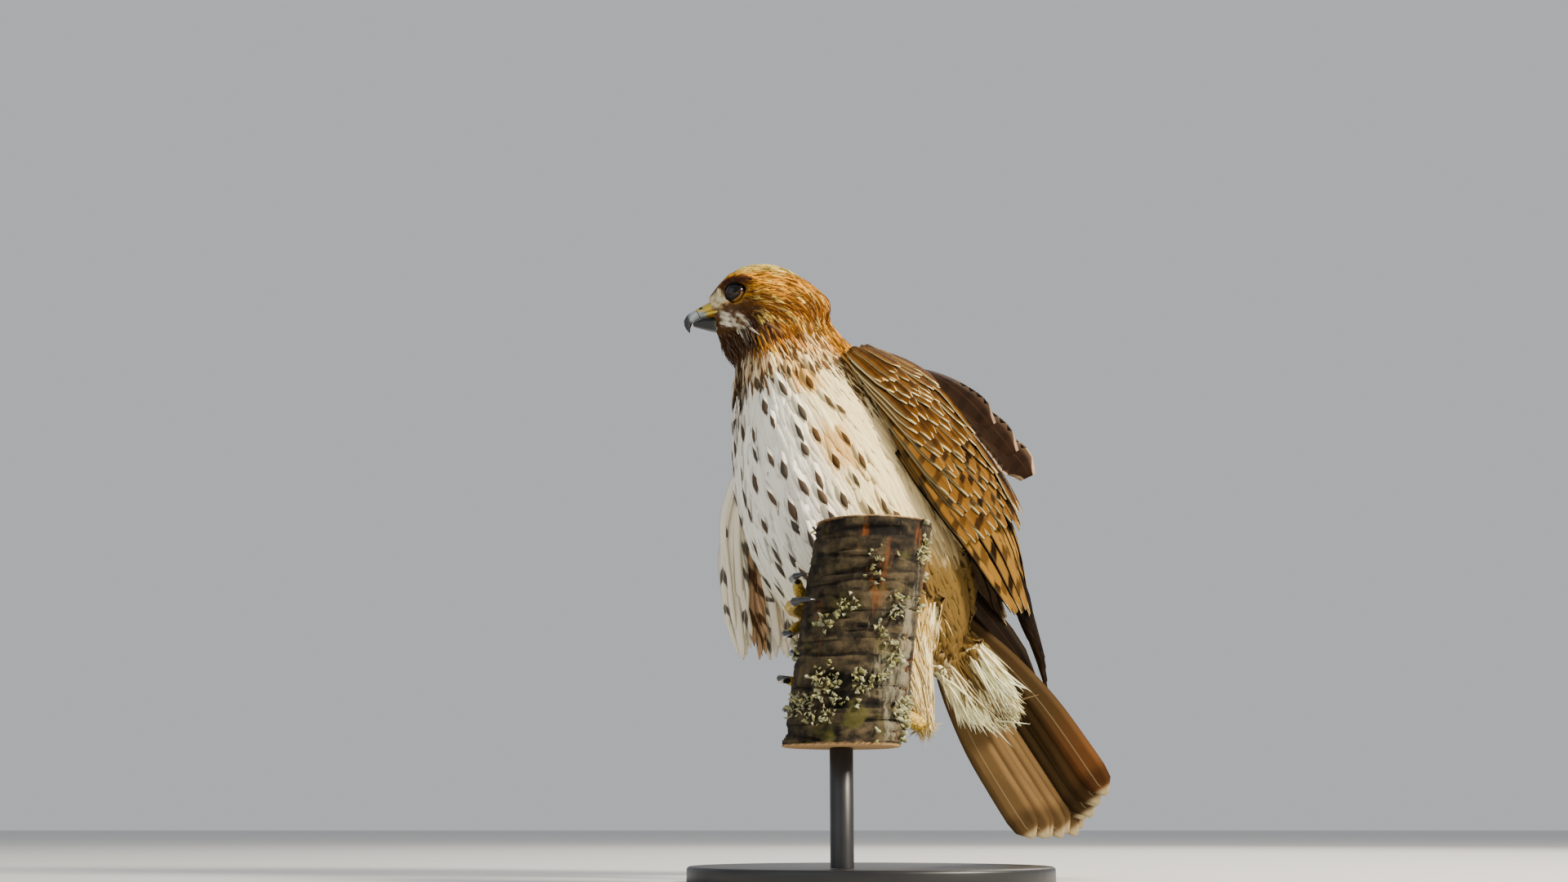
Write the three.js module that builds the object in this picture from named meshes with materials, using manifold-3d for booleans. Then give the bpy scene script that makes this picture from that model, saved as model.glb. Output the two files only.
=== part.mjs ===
// A red-tailed hawk, life size, clinging to a cut length of trunk that a display stand holds.
// Millimetres, +Z up. The origin is the centre of the stand's underside, and a viewer at -Y
// sees the bird in three-quarter view, its head turned to -X.
import * as THREE from 'three';
import { mergeVertices } from 'three/addons/utils/BufferGeometryUtils.js';
import Module from 'manifold-3d';

const wasm = await Module();
wasm.setup();

// Driving sizes
const GAP = 0.35; // clearance kept between sub-parts that touch
const VANE = 0.65; // thickness of a flight or tail feather
const ROOM = 0.55; // growth of a slanted body that others are cut by
const BILL_ROOM = 0.8; // the same for the bill
const BODY_TURN = 58; // degrees from facing the viewer round to -X
const TORSO = [-8, 52, 271]; // middle of the torso
const HEAD = [-71, 16, 441]; // middle of the skull
const HEAD_TURN = 88; // degrees from facing the viewer round to -X
const TAIL_LENGTH = 226;
const TAIL_WIDTH = 92;
const RECTRIX_WIDTH = 25;
const TAIL_LEVEL = 1.05; // from one tail feather to the next below it
const TAIL_STACK = 7 * TAIL_LEVEL;
const TRUNK_RADIUS = 41;
const EYE_RADIUS = 9;
const LID_RADIUS = 7.8; // of the eye's opening
const TARSUS_RADIUS = 5.4;
const BASE_RADIUS = 132;
const BASE_HEIGHT = 12;
const ROD_RADIUS = 8;

const vec = (x, y, z) => new THREE.Vector3(x, y, z);
const rad = THREE.MathUtils.degToRad;
const mix = THREE.MathUtils.lerp;
const clamp = THREE.MathUtils.clamp;
const UP = vec(0, 0, 1);

// A value on a smooth line through evenly spaced stops, u from 0 to 1.
function along(stops, u) {
  const x = clamp(u, 0, 1) * (stops.length - 1);
  const i = Math.min(Math.floor(x), stops.length - 2);
  const t = x - i;
  const [a, b, c, d] = [-1, 0, 1, 2].map((k) => stops[clamp(i + k, 0, stops.length - 1)]);
  return 0.5 * (2 * b + (c - a) * t + (2 * a - 5 * b + 4 * c - d) * t * t + (3 * b - a - 3 * c + d) * t ** 3);
}

const range = (n) => [...Array(n).keys()];

// Directions of a piece turned from facing the viewer round to -X.
function facing(turn) {
  const forward = vec(-Math.sin(rad(turn)), -Math.cos(rad(turn)), 0);
  const left = vec(Math.cos(rad(turn)), -Math.sin(rad(turn)), 0);
  return { forward, left, up: UP };
}

// Solids
function solidOf(points, faces) {
  const geometry = new THREE.BufferGeometry().setFromPoints(points);
  geometry.setIndex(faces);
  return solidFrom(geometry);
}

function solidFrom(geometry) {
  geometry.deleteAttribute('normal');
  geometry.deleteAttribute('uv');
  const merged = mergeVertices(geometry, 1e-4);
  const vertProperties = merged.attributes.position.array;
  const triVerts = new Uint32Array(merged.index.array);
  const made = new wasm.Manifold(new wasm.Mesh({ numProp: 3, vertProperties, triVerts }));
  if (made.volume() > 0) return made;
  for (let i = 0; i < triVerts.length; i += 3) {
    [triVerts[i + 1], triVerts[i + 2]] = [triVerts[i + 2], triVerts[i + 1]];
  }
  return new wasm.Manifold(new wasm.Mesh({ numProp: 3, vertProperties, triVerts }));
}

// A closed body through rings of equally many points, with a fan over each end.
function loft(rings) {
  const n = rings[0].length;
  const points = rings.flat();
  const faces = [];
  for (const k of range(rings.length - 1)) {
    for (const i of range(n)) {
      const [a, b] = [k * n + i, k * n + ((i + 1) % n)];
      faces.push(a, b, b + n, a, b + n, a + n);
    }
  }
  for (const [ring, flip] of [[0, true], [rings.length - 1, false]]) {
    const middle = rings[ring].reduce((sum, p) => sum.add(p), vec(0, 0, 0)).divideScalar(n);
    points.push(middle);
    for (const i of range(n)) {
      const [a, b] = [ring * n + i, ring * n + ((i + 1) % n)];
      faces.push(...(flip ? [b, a, points.length - 1] : [a, b, points.length - 1]));
    }
  }
  return solidOf(points, faces);
}

// A thin closed plate between two alike grids of points, split into triangles alike on both faces.
function plate(top, bottom) {
  const [rows, columns] = [top.length, top[0].length];
  const under = rows * columns;
  const id = (r, c) => r * columns + c;
  const faces = [];
  for (const r of range(rows - 1)) {
    for (const c of range(columns - 1)) {
      const [a, b, d, e] = [id(r, c), id(r, c + 1), id(r + 1, c), id(r + 1, c + 1)];
      faces.push(a, b, e, a, e, d);
      faces.push(under + a, under + e, under + b, under + a, under + d, under + e);
    }
  }
  const rim = [
    ...range(columns).map((c) => id(0, c)),
    ...range(rows - 1).map((r) => id(r + 1, columns - 1)),
    ...range(columns - 1).map((c) => id(rows - 1, columns - 2 - c)),
    ...range(rows - 2).map((r) => id(rows - 2 - r, 0)),
  ];
  rim.forEach((a, i) => {
    const b = rim[(i + 1) % rim.length];
    faces.push(a, under + a, under + b, a, under + b, b);
  });
  return solidOf([...top.flat(), ...bottom.flat()], faces);
}

const ball = (centre, radius, wide = 16, high = 10) =>
  solidFrom(new THREE.SphereGeometry(radius, wide, high).translate(...centre.toArray()));

// A tube of varying radius through points, its sections square to the line.
function tube(points, radii, sides, steps, { flatten = 1, flatWay = UP, ends = 0 } = {}) {
  const line = new THREE.CatmullRomCurve3(points);
  return loft(range(steps + 1).map((k) => {
    const u = k / steps;
    const [middle, ahead] = [line.getPoint(u), line.getTangent(u)];
    if (k === 0) middle.addScaledVector(ahead, -ends);
    if (k === steps) middle.addScaledVector(ahead, ends);
    const across = flatWay.clone().cross(ahead).normalize();
    const rise = ahead.clone().cross(across).normalize();
    const r = Math.max(along(radii, u), 0.25);
    return range(sides).map((i) => {
      const turn = (2 * Math.PI * i) / sides;
      return middle.clone()
        .addScaledVector(across, r * Math.cos(turn))
        .addScaledVector(rise, r * flatten * Math.sin(turn));
    });
  }));
}

const join = (solids) => wasm.Manifold.union(solids);

// Seeded draws, from -1 to 1, so that every build gives the same feathers.
let seed = 7;
function draw() {
  seed = (seed * 1103515245 + 12345) % 2147483648;
  return seed / 1073741824 - 1;
}

// A feather's vane: a thin curved plate through stations, each a place with its ways across and out.
// Its near edge lies lower by the slope, so that the next vane's far edge covers it.
function vane(stations, halves, slope = 0) {
  const last = stations.length - 1;
  const face = (side) => stations.map(({ place, across, out }, row) => [-1, 1].map((edge) => {
    const skin = (side * VANE * (row === last ? 0.75 : 1)) / 2;
    return place.clone()
      .addScaledVector(across, edge * halves[row])
      .addScaledVector(out, skin + slope * (edge - 1) * halves[row]);
  }));
  return plate(face(1), face(-1));
}

// A lock of loose plumes: a tapered tube of few sides.
const lock = (points, radius, flatWay) =>
  tube(points, [radius, radius * 1.05, radius * 0.75, 0.3], 4, 3, { flatten: 0.5, flatWay });

// A box over one side of a plane, for cutting.
function halfSpace(point, normal, reach = 600) {
  const geometry = new THREE.BoxGeometry(2 * reach, 2 * reach, reach).translate(0, 0, reach / 2);
  geometry.applyQuaternion(new THREE.Quaternion().setFromUnitVectors(UP, normal.clone().normalize()));
  return solidFrom(geometry.translate(...point.toArray()));
}

const object = new THREE.Group();
const finish = (colour, roughness, metalness = 0) =>
  new THREE.MeshStandardMaterial({ color: colour, roughness, metalness });
const materials = {
  plumage: finish(0xd9cdb8, 0.85),
  wing: finish(0x5a3d24, 0.7),
  tail: finish(0xa98a70, 0.65),
  horn: finish(0x23262b, 0.35),
  cere: finish(0xd8bd3a, 0.45),
  skin: finish(0xcdb04a, 0.6),
  eye: finish(0x1b120b, 0.08),
  bark: finish(0x5b5246, 0.95),
  stand: finish(0x202124, 0.4, 0.3),
};

// Adds a node, which keeps only its largest closed surface.
function addNode(name, solid, material) {
  const largest = solid.decompose().sort((a, b) => b.volume() - a.volume())[0];
  const found = largest.getMesh();
  const position = new Float32Array(found.numVert * 3);
  for (const i of range(found.numVert)) {
    position.set(found.vertProperties.subarray(i * found.numProp, i * found.numProp + 3), i * 3);
  }
  const geometry = new THREE.BufferGeometry();
  geometry.setAttribute('position', new THREE.BufferAttribute(position, 3));
  geometry.setIndex(new THREE.BufferAttribute(found.triVerts, 1));
  geometry.computeVertexNormals();
  const mesh = new THREE.Mesh(geometry, materials[material]);
  mesh.name = name;
  object.add(mesh);
  return largest;
}

// Torso and neck: one body of rings down the spine, from inside the head to the vent.
const body = facing(BODY_TURN);
const inBody = (forward, left, up) => vec(...TORSO)
  .addScaledVector(body.forward, forward)
  .addScaledVector(body.left, left)
  .addScaledVector(UP, up);

const spine = {
  forward: [74, 66, 50, 28, 4, -22, -50, -76, -92],
  up: [172, 138, 100, 60, 18, -24, -60, -84, -96],
  width: [27, 36, 52, 66, 71, 70, 60, 42, 20],
  belly: [28, 39, 60, 82, 93, 90, 72, 42, 16],
  back: [32, 50, 68, 80, 84, 80, 64, 38, 14],
};

// The folded wings lie on a wider body of the same kind, which runs on to their tips.
const shell = {
  forward: [50, 26, -2, -32, -66, -104, -146, -184],
  up: [118, 76, 30, -16, -58, -96, -127, -160],
  width: [54, 74, 83, 84, 75, 56, 36, 16],
  belly: [58, 76, 84, 84, 75, 56, 36, 16],
  back: [62, 98, 112, 118, 112, 86, 54, 22],
};

// A ring's place, directions and radii at u down a line.
function section(line, u) {
  const step = 0.01;
  const [before, after] = [Math.max(u - step, 0), Math.min(u + step, 1)].map((v) =>
    inBody(along(line.forward, v), 0, along(line.up, v)));
  const down = after.sub(before).normalize();
  return {
    middle: inBody(along(line.forward, u), 0, along(line.up, u)),
    back: body.left.clone().cross(down).normalize(),
    width: along(line.width, u),
    belly: along(line.belly, u),
    backDepth: along(line.back, u),
  };
}

// A point over a body: the turn runs from the back's midline, 90 at the left side, 180 at the belly.
function onBody(line, u, turn, height) {
  const ring = section(line, u);
  const [c, s] = [Math.cos(rad(turn)), Math.sin(rad(turn))];
  const depth = c > 0 ? ring.backDepth : ring.belly;
  const squareness = 2.25;
  const share = Math.abs(c / depth) ** squareness + Math.abs(s / ring.width) ** squareness;
  const reach = share ** (-1 / squareness);
  return ring.middle.clone()
    .addScaledVector(ring.back, c * (reach + height))
    .addScaledVector(body.left, s * (reach + height));
}

const torsoLoft = (grow, sides = 22, steps = 16) => {
  const rings = range(steps + 1).map((k) =>
    range(sides).map((i) => onBody(spine, k / steps, (360 * i) / sides, grow)));
  const end = section(spine, 1);
  const down = end.back.clone().cross(body.left);
  rings[steps].forEach((point) => point.addScaledVector(down, grow));
  return loft(rings);
};

// Head: rings along the way it faces, from the nape to the bill's root.
const head = facing(HEAD_TURN);
const inHead = (forward, left, up) => vec(...HEAD)
  .addScaledVector(head.forward, forward)
  .addScaledVector(head.left, left)
  .addScaledVector(UP, up);

const skull = {
  from: -46,
  to: 52,
  top: [4, 15, 23.4, 30.3, 34, 34.2, 31.3, 21.8, 5],
  bottom: [-14, -28, -34, -37, -38, -38, -36, -30, -19],
  width: [13, 25, 31, 34, 34.5, 32, 26, 16.5, 8.8],
};

function headRing(u, grow, sides) {
  const [top, bottom] = [along(skull.top, u), along(skull.bottom, u)];
  const half = (top - bottom) / 2 + grow;
  return range(sides).map((i) => {
    const turn = (2 * Math.PI * i) / sides;
    const lift = Math.sin(turn);
    const narrow = lift > 0 ? 1 - 0.12 * lift : 1 + 0.04 * lift;
    const out = (along(skull.width, u) + grow) * Math.cos(turn) * narrow;
    return inHead(mix(skull.from, skull.to, u), out, (top + bottom) / 2 + half * lift);
  });
}

const skullLoft = () => loft(range(12).map((k) => headRing(k / 11, 0, 16)));

// An eye looks out and a little ahead, from a dish with a lid round it, under a brow ridge.
const eyeCentre = (side) => inHead(28.8, side * 16, 4);
const eyeWay = (side) => head.left.clone().multiplyScalar(side).addScaledVector(head.forward, 0.36).normalize();
const orbit = (side) => ball(eyeCentre(side).addScaledVector(eyeWay(side), 7.4), EYE_RADIUS + 0.2, 10, 6);

function lid(side) {
  const ring = new THREE.TorusGeometry(LID_RADIUS, 1.4, 4, 10);
  ring.applyQuaternion(new THREE.Quaternion().setFromUnitVectors(UP, eyeWay(side)));
  return solidFrom(ring.translate(...eyeCentre(side).addScaledVector(eyeWay(side), 4.8).toArray()));
}

function brow(side) {
  const [back, front] = [inHead(13, side * 25.5, 13.5), inHead(44, side * 11.5, 10)];
  const crest = inHead(30, side * 20.5, 14.8);
  return tube([back, crest, front], [2.6, 4.8, 4.2, 2], 6, 4, { flatten: 0.62 });
}

// Bill: rings along a hooked line, the cere behind and the horn in front.
const billTop = { forward: [46, 54.8, 61.8, 66.4, 68.4], up: [3.4, -1.4, -5.6, -9.4, -13.4] };
const billWidth = [9.8, 8.2, 6.4, 4.4, 2];
const gapeDepth = [-10.8, -12, -14.6, -18.2, -20.6];

function upperBill(grow) {
  const steps = 9;
  return loft(range(steps + 1).map((k) => {
    const u = k / steps;
    const top = along(billTop.up, u);
    const low = Math.min(along(gapeDepth, u), top - 0.8);
    const half = along(billWidth, u) + grow;
    return range(12).map((i) => {
      const turn = (2 * Math.PI * i) / 12;
      const lift = Math.sin(turn);
      const rise = (top + low) / 2 + ((top - low) / 2 + grow) * lift;
      const pinch = lift > 0 ? 1 - 0.42 * lift : 1;
      const lean = 0.2 * u * (top - rise);
      return inHead(along(billTop.forward, u) - lean - (k ? 0 : grow), half * Math.cos(turn) * pinch, rise);
    });
  }));
}

function hook(grow) {
  const line = [inHead(62.5, 0, -9.6), inHead(66, 0, -14), inHead(66.6, 0, -19), inHead(64.9, 0, -24.2)];
  return tube(line, [3.4, 4, 2.6, 0.5].map((r) => r + grow), 8, 5, { flatten: 0.9, flatWay: head.left });
}

function lowerBill(grow) {
  const steps = 5;
  return loft(range(steps + 1).map((k) => {
    const u = k / steps;
    const top = along([-11.3, -11.6, -12.3, -13.6, -15.6], u);
    const low = along([-23, -22.2, -21.1, -20, -18.6], u);
    const half = along([9.4, 8.4, 7, 5.2, 2.8], u) + grow;
    return range(10).map((i) => {
      const turn = (2 * Math.PI * i) / 10;
      const rise = (top + low) / 2 + ((top - low) / 2 + grow) * Math.sin(turn);
      return inHead(mix(44 - grow, 62.5 + grow, u), half * Math.cos(turn), rise);
    });
  }));
}

function nostril(side) {
  const hole = new THREE.CylinderGeometry(1.5, 1.5, 8, 8).scale(1.25, 1, 1);
  hole.applyQuaternion(new THREE.Quaternion().setFromUnitVectors(vec(0, 1, 0), head.left));
  return solidFrom(hole.translate(...inHead(56.4, side * 8.6, -5.2).toArray()));
}

// The flesh, whole, then parted by thin cuts.
const leaning = (forward, direction) => UP.clone().addScaledVector(direction, forward).normalize();
const neckTop = { place: inHead(-12, 0, -30), way: leaning(0.35, head.forward) };
const neckFoot = { place: inBody(48, 0, 92), way: leaning(0.35, body.forward) };

const throat = () => tube(
  [inHead(42, 0, -20), inHead(33, 0, -26), inHead(22, 0, -37), inHead(8, 0, -54), inHead(-3, 0, -80)],
  [4.5, 11.5, 15.5, 21, 29], 14, 7,
);

const skullWithOrbits = skullLoft().subtract(orbit(1)).subtract(orbit(-1));
const flesh = join([torsoLoft(0), skullWithOrbits, throat(), brow(1), brow(-1), lid(1), lid(-1)]);
const sockets = join([1, -1].map((side) => ball(eyeCentre(side), EYE_RADIUS + GAP, 12, 8)));
const upperRoom = join([upperBill(ROOM), hook(ROOM)]);
const billRoom = join([upperBill(BILL_ROOM), lowerBill(BILL_ROOM)]);

function between(solid, low, high) {
  let cut = solid;
  if (low) cut = cut.intersect(halfSpace(low.place.clone().addScaledVector(low.way, GAP / 2), low.way));
  if (high) {
    const way = high.way.clone().negate();
    cut = cut.intersect(halfSpace(high.place.clone().addScaledVector(way, GAP / 2), way));
  }
  return cut;
}

addNode('head', between(flesh, neckTop, null).subtract(sockets).subtract(billRoom), 'plumage');
addNode('neck', between(flesh, neckFoot, neckTop), 'plumage');
addNode('torso', between(flesh, null, neckFoot), 'plumage');
addNode('eye_left', ball(eyeCentre(1), EYE_RADIUS, 12, 8), 'eye');
addNode('eye_right', ball(eyeCentre(-1), EYE_RADIUS, 12, 8), 'eye');

const cereFront = { place: inHead(60, 0, -7.5), way: leaning(-1.65, head.forward).negate() };
const wholeBill = join([upperBill(0), hook(0)]);
const cere = between(wholeBill, null, cereFront).subtract(nostril(1)).subtract(nostril(-1));
addNode('cere', cere, 'cere');
addNode('bill_upper', between(wholeBill, cereFront, null).subtract(lowerBill(ROOM)), 'horn');
addNode('bill_lower', lowerBill(0).subtract(upperRoom), 'horn');

const torsoRoom = torsoLoft(ROOM);

// Tail: vanes in a fan from a root inside the rump.
const tail = (() => {
  const [turn, lean, roll] = [51, 43.5, 50].map(rad);
  const way = vec(Math.sin(lean) * Math.sin(turn), Math.sin(lean) * Math.cos(turn), -Math.cos(lean));
  const level = vec(Math.cos(turn), -Math.sin(turn), 0);
  const left = level.applyAxisAngle(way, -roll);
  return { root: inBody(-83, 2, -68), way, left, up: left.clone().cross(way) };
})();

const inTail = (down, left, up) => tail.root.clone()
  .addScaledVector(tail.way, down)
  .addScaledVector(tail.left, left)
  .addScaledVector(tail.up, up);

// The tail's outline, as one sheet: its core near the root, or the room that others leave for it.
function tailSheet(thickness, length, grow) {
  const [rows, columns] = [6, 5];
  const face = (up) => range(rows).map((r) => range(columns).map((c) => {
    const across = (2 * c) / (columns - 1) - 1;
    const u = (r / (rows - 1)) * length;
    const half = along([16, 32, 41, 44, TAIL_WIDTH / 2], u) + grow;
    return inTail(u * TAIL_LENGTH + grow * u, half * across, up - TAIL_STACK / 2 - 4 * across ** 2);
  }));
  return plate(face(thickness / 2), face(-thickness / 2));
}

// One tail feather. The middle pair lie on top and each further pair a level lower.
const rectrixShape = { at: [0, 0.3, 0.6, 0.86, 0.96, 1], width: [0.5, 0.8, 0.94, 1, 0.72, 0.3] };
function rectrix(side, k) {
  const level = k + (k ? 1 : 0) + (side < 0 ? 1 : 0);
  const reach = TAIL_LENGTH - 1.6 * k - 0.5 * k ** 2 + 2 * draw();
  const stations = rectrixShape.at.map((u) => {
    const left = side * (k + 0.5) * along([2.2, 4.2, 5.6, 6, (TAIL_WIDTH - RECTRIX_WIDTH) / 11], u);
    const sag = -4 * (left / (TAIL_WIDTH / 2)) ** 2 - 3 * u ** 2;
    return { place: inTail(u * reach, left, sag - level * TAIL_LEVEL), across: tail.left, out: tail.up };
  });
  return vane(stations, rectrixShape.width.map((part) => (part * RECTRIX_WIDTH) / 2));
}

const tailRoom = tailSheet(TAIL_STACK + 8, 1, 3);
const rectrices = [1, -1].flatMap((side) => range(6).map((k) => rectrix(side, k)));
addNode('tail', join([tailSheet(TAIL_STACK + 2, 0.34, -4), ...rectrices]).subtract(torsoRoom), 'tail');

// Undertail coverts: rows of soft locks over a core along the tail's underside.
const undertailPath = new THREE.CatmullRomCurve3(
  [inTail(4, 2, -18), inTail(44, 2, -24), inTail(84, 3, -20), inTail(112, 4, -14)],
);
const undertailReach = [20, 30, 25, 12];
const UNDERTAIL_LOBES = 0.13; // how far its two lobes stand out
const undertailPlace = (u, turn, grow) => {
  const lobes = 1 - UNDERTAIL_LOBES * Math.cos(rad(4 * turn));
  const reach = along(undertailReach, u) * lobes + grow;
  return undertailPath.getPoint(clamp(u, 0, 1))
    .addScaledVector(tail.left, reach * Math.sin(rad(turn)))
    .addScaledVector(tail.up, -reach * 0.55 * Math.cos(rad(turn)));
};

function undertailLock(u, turn) {
  const fall = 0.34 + 0.06 * draw();
  const points = [
    undertailPlace(u, turn, -9),
    undertailPlace(u + 0.4 * fall, turn, -1.5),
    undertailPlace(u + 0.8 * fall, turn * 0.95, 0.5),
    undertailPlace(u + fall, turn * 0.9, -1).addScaledVector(tail.way, 9),
  ];
  return lock(points, 11.5, tail.up);
}

const undertailCore = (grow) =>
  loft(range(6).map((k) => range(10).map((i) => undertailPlace(0.9 * (k / 5), 36 * i, grow))));
const undertailLocks = [0.3, 0.52].flatMap((u, row) =>
  range(5 - row).map((k) => undertailLock(u, mix(-80, 80, (k + 0.5 * row) / 4) + 4 * draw())));
const undertailRoom = undertailCore(1.5);
const undertailSolid = join([undertailCore(-4), ...undertailLocks]).subtract(torsoRoom).subtract(tailRoom);
addNode('undertail', undertailSolid, 'plumage');

// Flank: long plumes that hang free off the right side of the belly.
function flankLock(across, row) {
  const [x, y] = [7 * across, 9 * row - 5 * across];
  const root = vec(-88 + 0.5 * x, 46 + y, 336 - 26 * row);
  const belly = vec(-108 + x, 42 + y, 278 - 16 * row);
  const thigh = vec(-106 + x, 47 + y, 222 - 8 * row);
  const tip = vec(-98 + 1.2 * x, 56 + y, 181 + 14 * Math.abs(across) + 8 * row + 3 * draw());
  return lock([root, belly, thigh, tip], 10.5, vec(0.3, 1, 0));
}
const flankLocks = [0, 1].flatMap((row) =>
  range(4 - row).map((k) => flankLock((k + 0.5 * row) / 1.5 - 1, row)));
addNode('flank_right', join(flankLocks).subtract(torsoRoom), 'plumage');

// Wings: tiers of vanes over a core, from beside the back's midline down to the lower edge.
const wing = {
  inner: [14, 5, 2, 1.5, 1.5, 2, 5, 12],
  lower: [62, 84, 86, 86, 80, 66, 44, 22],
  depth: [10, 22, 38, 44, 40, 22, 12, 5],
};
const WING_CORE = 0.44; // how far down the wing its core reaches
const sunk = (u) => 4 + 8 * Math.min(u / 0.2, 1); // how far the core lies below the wing's sheet

function wingCore(side) {
  const [rows, columns] = [5, 4];
  const face = (inside) => range(rows).map((r) => range(columns).map((c) => {
    const u = 0.01 + ((WING_CORE - 0.01) * r) / (rows - 1);
    const across = c / (columns - 1);
    const turn = mix(along(wing.inner, u), along(wing.lower, u), across);
    const depth = inside ? Math.max(along(wing.depth, u) * (1 - 0.7 * across ** 2), sunk(u) + 5) : sunk(u);
    return onBody(shell, u, side * turn, -depth);
  }));
  return plate(face(false), face(true));
}

// A wing feather from a root to a tip on the wing's sheet, each a share of its length and a turn,
// at heights over the sheet that change along it. A twist turns it about its length towards the tip.
function wingVane(side, root, tip, half, heights, slope, shape = [0.66, 1, 0.94, 0.36], twist = 0) {
  const at = (t) => [mix(root[0], tip[0], t), side * mix(root[1], tip[1], t)];
  const place = (t) => onBody(shell, ...at(t), along(heights, t));
  const stations = shape.map((_, k) => {
    const t = k / (shape.length - 1);
    const way = place(t + 0.02).sub(place(t - 0.02)).normalize();
    const [u, turn] = at(t);
    const round = onBody(shell, u, turn + side * 2, 0).sub(onBody(shell, u, turn - side * 2, 0));
    const flat = round.addScaledVector(way, -round.dot(way)).normalize();
    const out = flat.clone().cross(way).multiplyScalar(side).normalize();
    const [c, s] = [Math.cos(rad(twist * t)), Math.sin(rad(twist * t))];
    const across = flat.clone().multiplyScalar(c).addScaledVector(out, -s);
    return { place: place(t), across, out: out.multiplyScalar(c).addScaledVector(flat, s) };
  });
  return vane(stations, shape.map((part) => part * half), slope);
}

// Rows of coverts, from the shoulder down, with the scapulars as their inner ends.
const coverts = [
  { root: 0.03, tip: 0.19, half: 21, heights: [-8, -4, 0] },
  { root: 0.1, tip: 0.33, half: 22, heights: [-14, -7, 0] },
  { root: 0.19, tip: 0.47, half: 22, heights: [-15, -8, 0] },
];
const COVERTS = 5; // in each row

function wingFeathers(side) {
  const near = (value, size) => value + size * draw();
  const primaries = range(4).map((k) => {
    const tip = [near(0.935 - 0.036 * k, 0.003), 13 + 9 * k];
    return wingVane(side, [0.42, 44 + 7 * k], tip, 10, [-15, -9, -6, -2], 0.16);
  });
  const secondaries = range(8).map((k) => {
    const tip = [near(0.668 + 0.02 * k, 0.003), 65 - 7.5 * k];
    return wingVane(side, [0.24 + 0.013 * k, 84 - 9.8 * k], tip, 15, [-13, -9, -5, -1], 0.13);
  });
  const tiers = coverts.flatMap(({ root, tip, half, heights }, row) => range(COVERTS).map((k) => {
    const turn = 82 - 16.4 * k - 5 * (row % 2);
    const end = [near(tip + 0.018 * k, 0.006), near(turn - 2, 0.6)];
    const sink = heights.map((height) => height * (1 - 0.4 * (turn / 84) ** 2));
    return wingVane(side, [root + 0.013 * k, turn], end, half, sink, 0.07, [0.85, 1, 0.42]);
  }));
  return [...primaries, ...secondaries, ...tiers];
}

// Two of the left wing's scapulars that the wind lifts and turns.
const LIFTED_SHAPE = [0.66, 1, 1, 0.5];
const lifted = () => [
  wingVane(1, [0.07, 27], [0.3, 34], 12, [-12, 5, 13], 0, LIFTED_SHAPE, 58),
  wingVane(1, [0.19, 30], [0.45, 37], 12, [-16, 9, 21], 0, LIFTED_SHAPE, 58),
];

function wingSolid(side) {
  const whole = join([wingCore(side), ...wingFeathers(side), ...(side > 0 ? lifted() : [])]);
  const outward = body.left.clone().multiplyScalar(side);
  const half = whole.intersect(halfSpace(inBody(0, side * 0.4, 0), outward));
  return half.subtract(torsoRoom).subtract(tailRoom);
}

addNode('wing_left', wingSolid(1), 'wing');
addNode('wing_right', wingSolid(-1), 'wing');

// Perch: a cut length of trunk, which leans a little as it rises.
const trunk = { bottom: 92, top: 246, axisY: -85 };
const trunkX = (z) => mix(-23, 1, (z - trunk.bottom) / (trunk.top - trunk.bottom));
const trunkReach = (turn, z) =>
  TRUNK_RADIUS + 0.9 * Math.sin(2 * turn + 1) + 0.6 * Math.sin(0.06 * z + 3 * turn);
const onTrunk = (degrees, z, out) => {
  const turn = rad(degrees);
  const reach = trunkReach(turn, z) + out;
  return vec(trunkX(z) + reach * Math.cos(turn), trunk.axisY + reach * Math.sin(turn), z);
};

const trunkLoft = (grow, steps = 7, sides = 24) => loft(range(steps + 1).map((k) => {
  const z = mix(trunk.bottom, trunk.top, k / steps) + (k === steps ? grow : 0) - (k === 0 ? grow : 0);
  return range(sides).map((i) => onTrunk((360 * i) / sides, z, grow));
}));
const perchRoom = trunkLoft(GAP + 0.1);
addNode('perch_trunk', trunkLoft(0), 'bark');

// Feet: toes that follow the bark, each with a claw beyond a thin cut.
const feet = [
  { side: 'right', turn: 128, height: 187, ankle: vec(-22, 30, 150) },
  { side: 'left', turn: 92, height: 137, ankle: vec(42, 12, 112) },
];
const toes = [
  { name: 'middle', reach: 54, rise: 2, claw: 25, radius: 5.2 },
  { name: 'inner', reach: 34, rise: 20, claw: 28, radius: 5.4 },
  { name: 'outer', reach: 36, rise: -17, claw: 20, radius: 4.6 },
  { name: 'hind', reach: -30, rise: -6, claw: -30, radius: 5.6 },
];

const degreesOf = (arc, out = 6) => (arc / (TRUNK_RADIUS + out)) * (180 / Math.PI);

function toeLine(foot, toe) {
  return range(5).map((k) => {
    const u = k / 4;
    const out = toe.radius + 0.8 + 3 * (1 - u) ** 2 + 1.6 * Math.sin(Math.PI * u);
    return onTrunk(foot.turn + degreesOf(toe.reach * u), foot.height + toe.rise * u ** 0.7, out);
  });
}

function digit(foot, toe, grow) {
  const radii = [1.15, 0.96, 1.04, 0.85, 0.65].map((r) => r * toe.radius + grow);
  return tube(toeLine(foot, toe), radii, 6, 6, { ends: grow });
}

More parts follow.
